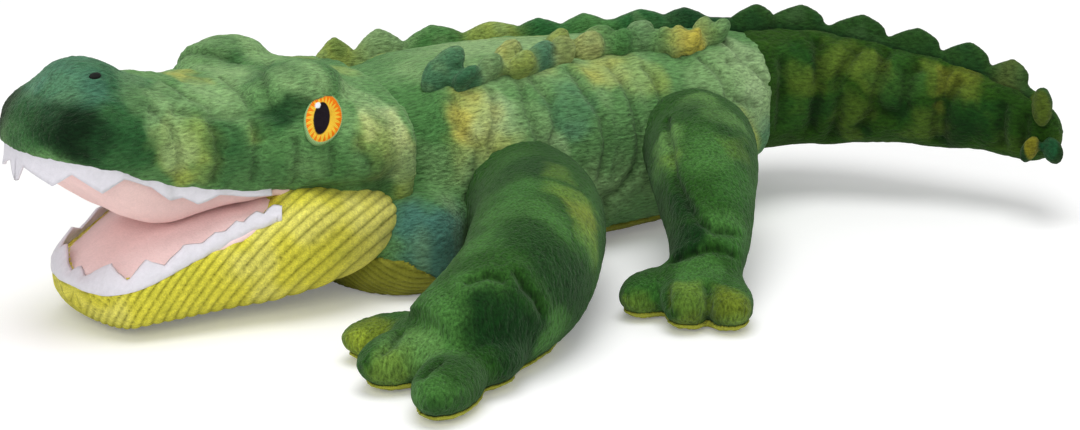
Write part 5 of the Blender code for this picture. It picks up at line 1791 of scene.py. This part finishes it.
def make_teeth(name, piece, level, rear, turn_from, inset, near, front, upward, lean, root, body, replaced):
    """A strip of felt cut into teeth, sewn in along a soft rim and round the front."""
    half = dense_path(rim_path(piece, rear, turn_from, level, inset), 0.0006)
    smooth_along(half, 4)
    heights = tooth_heights(half, near, front)
    path = np.concatenate([half, head_mirror(half)[::-1][1:]])
    heights = np.r_[heights, heights[::-1][1:]]
    inward = np.cross(unit(np.gradient(path, axis=0)), UPRIGHT)
    middle = head_place(turn_from - 0.02, 0.0, 0.0)
    inward *= np.sign(((middle - path) * inward).sum(1))[:, None]
    up = UPRIGHT if upward else -UPRIGHT
    stand = up * math.cos(lean) + inward * math.sin(lean)
    curl = 0.0006 * cloth_noise(path, cell=0.010, seed=71)[:, None] * inward
    sheets = []
    for side in (0.5, -0.5):
        sheet = []
        for share in np.linspace(0.0, 1.0, FELT_ROWS):
            reach = -root + (heights + root) * share
            thick = FELT_THICKNESS * (1 - 0.25 * share)
            bow = inward * (0.0012 * math.sin(math.pi * share)) * (-1.0 if upward else 0.5)
            sheet.append(path + stand * reach[:, None] + bow + curl * share + inward * side * thick)
        sheets.append(np.array(sheet))
    strip = add_sheet(name, *sheets)
    fuzz = cloth_noise(points_of(strip), cell=0.0016, seed=73)
    push_out(strip, 0.00006 * fuzz)
    tint(strip, np.array(FELT_WHITE) * (1 + 0.03 * fuzz)[:, None])
    dress(strip, FELT)
    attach(strip, body)
    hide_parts(replaced)


def upper_rim_level(u):
    return float(lip_level(u)) + 0.0030


def lower_rim_level(u):
    return float(jaw_row(u)[0]) - 0.0024


make_teeth(
    "upper_teeth_felt", head, upper_rim_level, rear=0.083, turn_from=0.132, inset=0.0014,
    near=UPPER_TEETH, front=UPPER_FRONT, upward=False, lean=-0.10, root=0.0040,
    body="head", replaced="upper_teeth")
make_teeth(
    "lower_teeth_felt", jaw, lower_rim_level, rear=0.083, turn_from=0.118, inset=0.0002,
    near=LOWER_TEETH, front=LOWER_FRONT, upward=True, lean=0.42, root=0.0006,
    body="jaw", replaced="lower_teeth")


# Embroidered eyes and nostrils, placed by pixels of the photograph
EYE_PIXEL = (323, 119)
EYE_HALF = (17.8, 24.0)
EYE_STITCHES = 72
EYE_WEDGES = 24
EYE_ROWS = 40
EYE_STEPS = 288
EYE_THICKNESS = 0.0016
EYE_ORANGE = (0.95, 0.23, 0.004)
EYE_YELLOW = (0.95, 0.60, 0.05)
EYE_RIM = (0.30, 0.50, 0.20)
EYE_BLACK = (0.004, 0.001, 0.004)
EYE_WHITE = (0.80, 0.84, 0.86)
# The slit's and the glint's middle and half size, as shares of the eye's own half size
PUPIL = (-0.16, -0.05, 0.42, 0.64)
GLINT = (-0.42, 0.45, 0.15, 0.13)
NOSTRIL_PIXEL = (95, 76)
NOSTRIL_SIZE = (0.0025, 0.0013, 0.0010)
NOSTRIL_BLACK = (0.010, 0.012, 0.010)


def seen_axes(normal):
    """Ways on a surface that look level and upright in the picture, as long as one pixel there."""
    level = np.cross(normal, CAMERA_UP)
    level *= PIXEL_SIZE / (level @ CAMERA_RIGHT)
    upright = np.cross(normal, CAMERA_RIGHT)
    upright *= PIXEL_SIZE / (upright @ CAMERA_UP)
    return level, upright


def surface_disc(tree, centre, normal, side, up, rows, steps, lift):
    """A round patch that lies on a surface: its places, and each place's radius share and turn."""
    places = []
    shares = []
    turns = []
    for row in range(rows):
        share = row / (rows - 1)
        for step in range(steps):
            turn = 2 * math.pi * step / steps
            off = side * share * math.cos(turn) + up * share * math.sin(turn)
            hit, _, _, _ = tree.ray_cast(Vector(centre + off + normal * 0.02), Vector(-normal), 0.05)
            level = (np.array(hit) - centre) @ normal if hit is not None else 0.0
            places.append(centre + off + normal * (level * 0.5 + lift * (1 - share ** 4) + 0.0004))
            shares.append(share)
            turns.append(turn)
    return np.array(places), np.array(shares), np.array(turns)


def make_eye(name, side, replaced):
    """A flat oval of satin stitches: an orange ring, yellow inside, with a dark slit and a white glint."""
    tree = surface_tree(head)
    place, normal = surface_under(tree, *EYE_PIXEL)
    centre, normal = np.array(place), np.array(normal)
    rows, steps = EYE_ROWS, EYE_STEPS
    side_way, up_way = seen_axes(normal)
    places, shares, turns = surface_disc(
        tree, centre, normal, side_way * EYE_HALF[0], up_way * EYE_HALF[1], rows, steps, lift=0.0011)
    across = shares * np.cos(turns)
    high = shares * np.sin(turns)
    stitch = np.abs(np.sin(turns * EYE_STITCHES / 2))
    wedge = np.abs(((turns * EYE_WEDGES / (2 * math.pi)) % 1.0) - 0.5) * 2
    jag = 0.60 + 0.34 * wedge - 0.10 * np.sin(turns + 0.5)
    colours = stained(plain(places, EYE_ORANGE), EYE_YELLOW, step_up(jag + 0.05 - shares, 0.0, 0.10))
    slit = np.hypot((across - PUPIL[0]) / PUPIL[2], (high - PUPIL[1]) / PUPIL[3])
    dark = step_up(1.04 - slit, 0.0, 0.06)
    glint = np.hypot((across - GLINT[0]) / GLINT[2], (high - GLINT[1]) / GLINT[3])
    shine = step_up(1.05 - glint, 0.0, 0.15)
    rim = step_up(shares, 0.925, 0.95)
    colours = stained(colours, EYE_RIM, rim)
    # Painted shade between the raised satin stitches; the slit keeps its black.
    colours *= ((0.72 + 0.28 * stitch) * (1 - dark) + dark)[:, None]
    colours = stained(colours, EYE_BLACK, dark)
    colours = stained(colours, EYE_WHITE, shine)
    raised = 0.00022 * stitch * (1 - dark) * np.minimum(1.0, shares * 3)
    raised += 0.00028 * dark + 0.00035 * shine + 0.00010 * rim
    raised += 0.00010 * dark * np.abs(np.sin(across * 60))
    places = places + normal * raised[:, None]
    back = places - normal * EYE_THICKNESS
    front = [(a, d, c, b) for a, b, c, d in ring_faces(rows, steps)]
    offset = len(places)
    faces = front + [tuple(offset + corner for corner in reversed(face)) for face in front]
    edge = [(rows - 1) * steps + step for step in range(steps)]
    for first, second in zip(edge, edge[1:] + edge[:1]):
        faces.append((first, offset + first, offset + second, second))
    points = np.concatenate([places, back])
    if side < 0:
        points = head_mirror(points)
    eye = add_mesh(name, points, faces)
    weld(eye, distance=0.00002)
    turn_outward(eye.data)
    tree = point_tree(points)
    doubled = np.concatenate([colours, colours])
    tint(eye, doubled[[tree.find(point)[1] for point in points_of(eye)]])
    dress(eye, THREAD)
    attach(eye, "head")
    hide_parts(replaced)


def weld(piece, distance):
    """Joins points that lie closer together than a distance."""
    shape = bmesh.new()
    shape.from_mesh(piece.data)
    bmesh.ops.remove_doubles(shape, verts=shape.verts, dist=distance)
    shape.to_mesh(piece.data)
    shape.free()


def make_nostril(name, side, replaced):
    """A small dark knot of thread on the nose bump."""
    tree = surface_tree(head)
    place, normal = surface_under(tree, *NOSTRIL_PIXEL)
    centre, normal = np.array(place), np.array(normal)
    side_way = unit(np.cross(UPRIGHT, normal))
    up = np.cross(normal, side_way)
    axes = np.stack([side_way, up, normal]) * np.array(NOSTRIL_SIZE)[:, None]
    knot = add_ball(name, centre, axes, bulge=2.2, steps=48, rows=24)
    points = points_of(knot)
    turn = np.arctan2((points - centre) @ up, (points - centre) @ side_way)
    points = points + normals_of(knot) * (0.00012 * np.abs(np.sin(turn * 9)))[:, None]
    if side < 0:
        points = head_mirror(points)
    set_points(knot, points)
    if side < 0:
        knot.data.flip_normals()
    tint(knot, plain(points, NOSTRIL_BLACK))
    dress(knot, THREAD)
    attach(knot, "head")
    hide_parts(replaced)


make_eye("left_eye_stitches", 1, "left_eye")
make_eye("right_eye_stitches", -1, "right_eye")
make_nostril("left_nostril_stitches", 1, "left_nostril")
make_nostril("right_nostril_stitches", -1, "right_nostril")


# Ridges on the back
RIGHT_SPINES = ((327, 32), (379, 24), (432, 21), (490, 18), (539, 17), (585, 17), (641, 20), (686, 3))
RIGHT_SPINE_COLOURS = (OLIVE, SAGE, GREEN, OLIVE, DARK, GREEN, DARK, DEEP)
RIGHT_SPINE_LEAST = 0.009
RIGHT_RIDGE_SHARES = (
    (0.00, 0.74), (0.17, 0.76), (0.34, 0.66), (0.51, 0.48), (0.67, 0.30), (0.85, 0.16), (1.00, 0.06),
)
# Where a lump shows, its half length, half width and turn in the picture, and its dye
LEFT_LUMPS = (
    (444, 79, 30, 11, 42, (0.070, 0.190, 0.090)), (465, 86, 15, 7, 28, (0.045, 0.150, 0.070)),
    (488, 76, 15, 9, 20, SAGE), (504, 67, 20, 11, 38, (0.38, 0.40, 0.11)), (520, 74, 16, 8, 20, OLIVE),
    (538, 65, 18, 9, 30, (0.070, 0.200, 0.110)), (553, 51, 16, 8, 34, OLIVE),
    (562, 61, 15, 9, 10, (0.30, 0.36, 0.12)), (588, 56, 18, 8, 8, (0.34, 0.38, 0.13)),
    (598, 49, 20, 8, 2, MID), (620, 51, 12, 9, 0, GREEN), (638, 45, 17, 14, 0, (0.16, 0.29, 0.12)),
    (660, 49, 8, 11, 90, MID), (675, 50, 15, 11, 80, (0.46, 0.43, 0.09)),
    (691, 50, 14, 8, 50, (0.52, 0.44, 0.06)), (700, 41, 14, 10, 55, (0.25, 0.35, 0.11)),
    (716, 40, 12, 9, 30, MID),
)


def make_left_ridge():
    """The near ridge, flopped over towards the near side as a row of twisted padded lumps."""
    tree = surface_tree(body)
    solids = [picture_lump(tree, *lump[:5]) for lump in LEFT_LUMPS]
    spots = np.array([place_on(tree, *lump[:2])[0] for lump in LEFT_LUMPS])
    middle = dense_path(spots[np.argsort(spots[:, 0])], 0.002)
    smooth_along(middle, 3)
    middle = np.array([tree.find_nearest(Vector(point))[0] for point in middle]) + UPRIGHT * 0.0012
    sides = np.cross(UPRIGHT, unit(np.gradient(middle, axis=0)))
    sizes = np.full(len(middle), 0.0042)
    rings = oval_rings(middle, sides, sizes, sizes, sizes, top_bulge=2.0, low_bulge=2.0)
    solids.append(add_loft("band", rings))
    piece = fuse("left_ridge_plush", solids, RIDGE_CELL, rounds=2)
    wrinkles = cloth_noise(points_of(piece), cell=(0.006, 0.0035, 0.0035), seed=85)
    push_out(piece, 0.0006 * wrinkles)
    refine(piece)
    add_pile(piece, nap=(1.0, -0.2, 0.3), height=0.00026, seed=81)
    points = points_of(piece)
    distances = [np.linalg.norm(points - spot, axis=1) for spot in spots]
    colours = dyes_near([lump[5] for lump in LEFT_LUMPS], distances, 0.0055)
    tint(piece, blotched(points, colours, SAGE, DARK, seed=83, size=0.008, strength=0.30))
    return piece


def make_right_ridge():
    """The far ridge, whose spines stand up behind the back's outline."""
    along = np.linspace(-0.02, 1.0, 300)
    shares = np.interp(along, *zip(*RIGHT_RIDGE_SHARES))
    ridge = ridge_place(np.maximum(along, 0.0), shares)
    ridge[:, 0] += BODY_LENGTH * np.minimum(along, 0.0)
    across, _ = picture_place(ridge + UPRIGHT * 0.008)
    _, foot = picture_place(ridge)
    places = [float(np.interp(spot[0], across, along)) for spot in RIGHT_SPINES]
    ways = unit(np.gradient(ridge, axis=0))
    indices = [int(np.argmin(np.abs(along - place))) for place in places]
    lengths = np.diff(places, prepend=2 * places[0] - places[1]) * BODY_LENGTH
    solids = []
    for spot, index, length in zip(RIGHT_SPINES, indices, lengths):
        height = (foot[index] - spot[1]) * PIXEL_SIZE / math.cos(CAMERA_ELEVATION)
        base = ridge[index] - UPRIGHT * 0.001
        height = max(height, RIGHT_SPINE_LEAST)
        solids.append(make_spine(base, ways[index], 0.70 * length, height, lean=0.10, flare=0.0))
    chosen = slice(0, len(along), 6)
    sides = np.cross(UPRIGHT, ways[chosen])
    sizes = np.full(len(sides), 0.0034)
    middle = ridge[chosen] + UPRIGHT * 0.0012
    rings = oval_rings(middle, sides, sizes, sizes, sizes, top_bulge=2.0, low_bulge=2.0)
    solids.append(add_loft("band", rings))
    piece = fuse("right_ridge_plush", solids, RIDGE_CELL, rounds=3)
    add_pile(piece, nap=(1.0, 0.0, 0.3), height=0.00022, seed=91)
    points = points_of(piece)
    distances = [points[:, 0] - ridge[index, 0] for index in indices]
    colours = dyes_near(RIGHT_SPINE_COLOURS, distances, 0.009)
    tint(piece, blotched(points, colours, SAGE, DARK, seed=93, size=0.008, strength=0.35))
    return piece


# Corduroy belly
BELLY_EDGE = ((355, 254), (406, 261), (422, 270), (441, 280), (470, 292))
BELLY_PITCH = 0.0036
BELLY_FRONT = -0.112
BELLY_REAR = 0.074
BELLY_TOP = 0.0075
BELLY_HALF_WIDTH = 0.042
CHEST_REAR = -0.045
CHEST_TOP = 0.024
BELLY_YELLOW = (0.260, 0.265, 0.030)


def make_belly():
    """The ribbed belly, which comes up a little on both sides of the chest."""
    points = points_of(body)
    across, down = picture_place(np.abs(points) * [0, -1, 0] + points * [1, 0, 1])
    x, y, z = points.T
    chest = (x < CHEST_REAR) & (z < CHEST_TOP) & (down > np.interp(across, *zip(*BELLY_EDGE)))
    under = (z < BELLY_TOP) & (np.abs(y) < BELLY_HALF_WIDTH)
    chosen = (chest | under) & (x > BELLY_FRONT) & (x < BELLY_REAR)
    piece = cloth_patch("belly_cloth", body, chosen, lift=0.0009, thickness=0.0012)
    points = points_of(piece)
    around = np.abs(points[:, 1]) + points[:, 2] + 0.0006 * cloth_noise(points, cell=0.03, seed=95)
    wave = np.abs(np.sin(math.pi * around / BELLY_PITCH)) ** 0.5
    push_out(piece, 0.0006 * (wave - 0.5))
    points = keep_above(piece, CLOTH_BOTTOM)
    colours = plain(points, BELLY_YELLOW)
    colours = blotched(points, colours, YELLOW, OLIVE, seed=97, size=0.016, strength=0.4)
    # Painted shade in the grooves between the ribs.
    colours *= (0.42 + 0.60 * wave)[:, None]
    tint(piece, colours)
    dress(piece, CORDUROY)
    return piece


left_ridge = make_left_ridge()
right_ridge = make_right_ridge()
belly = make_belly()
for ridge, replaced in ((left_ridge, "left_back_ridge"), (right_ridge, "right_back_ridge")):
    dress(ridge, PLUSH)
    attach(ridge, "torso")
    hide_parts(replaced)
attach(belly, "torso")
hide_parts("belly_panel")
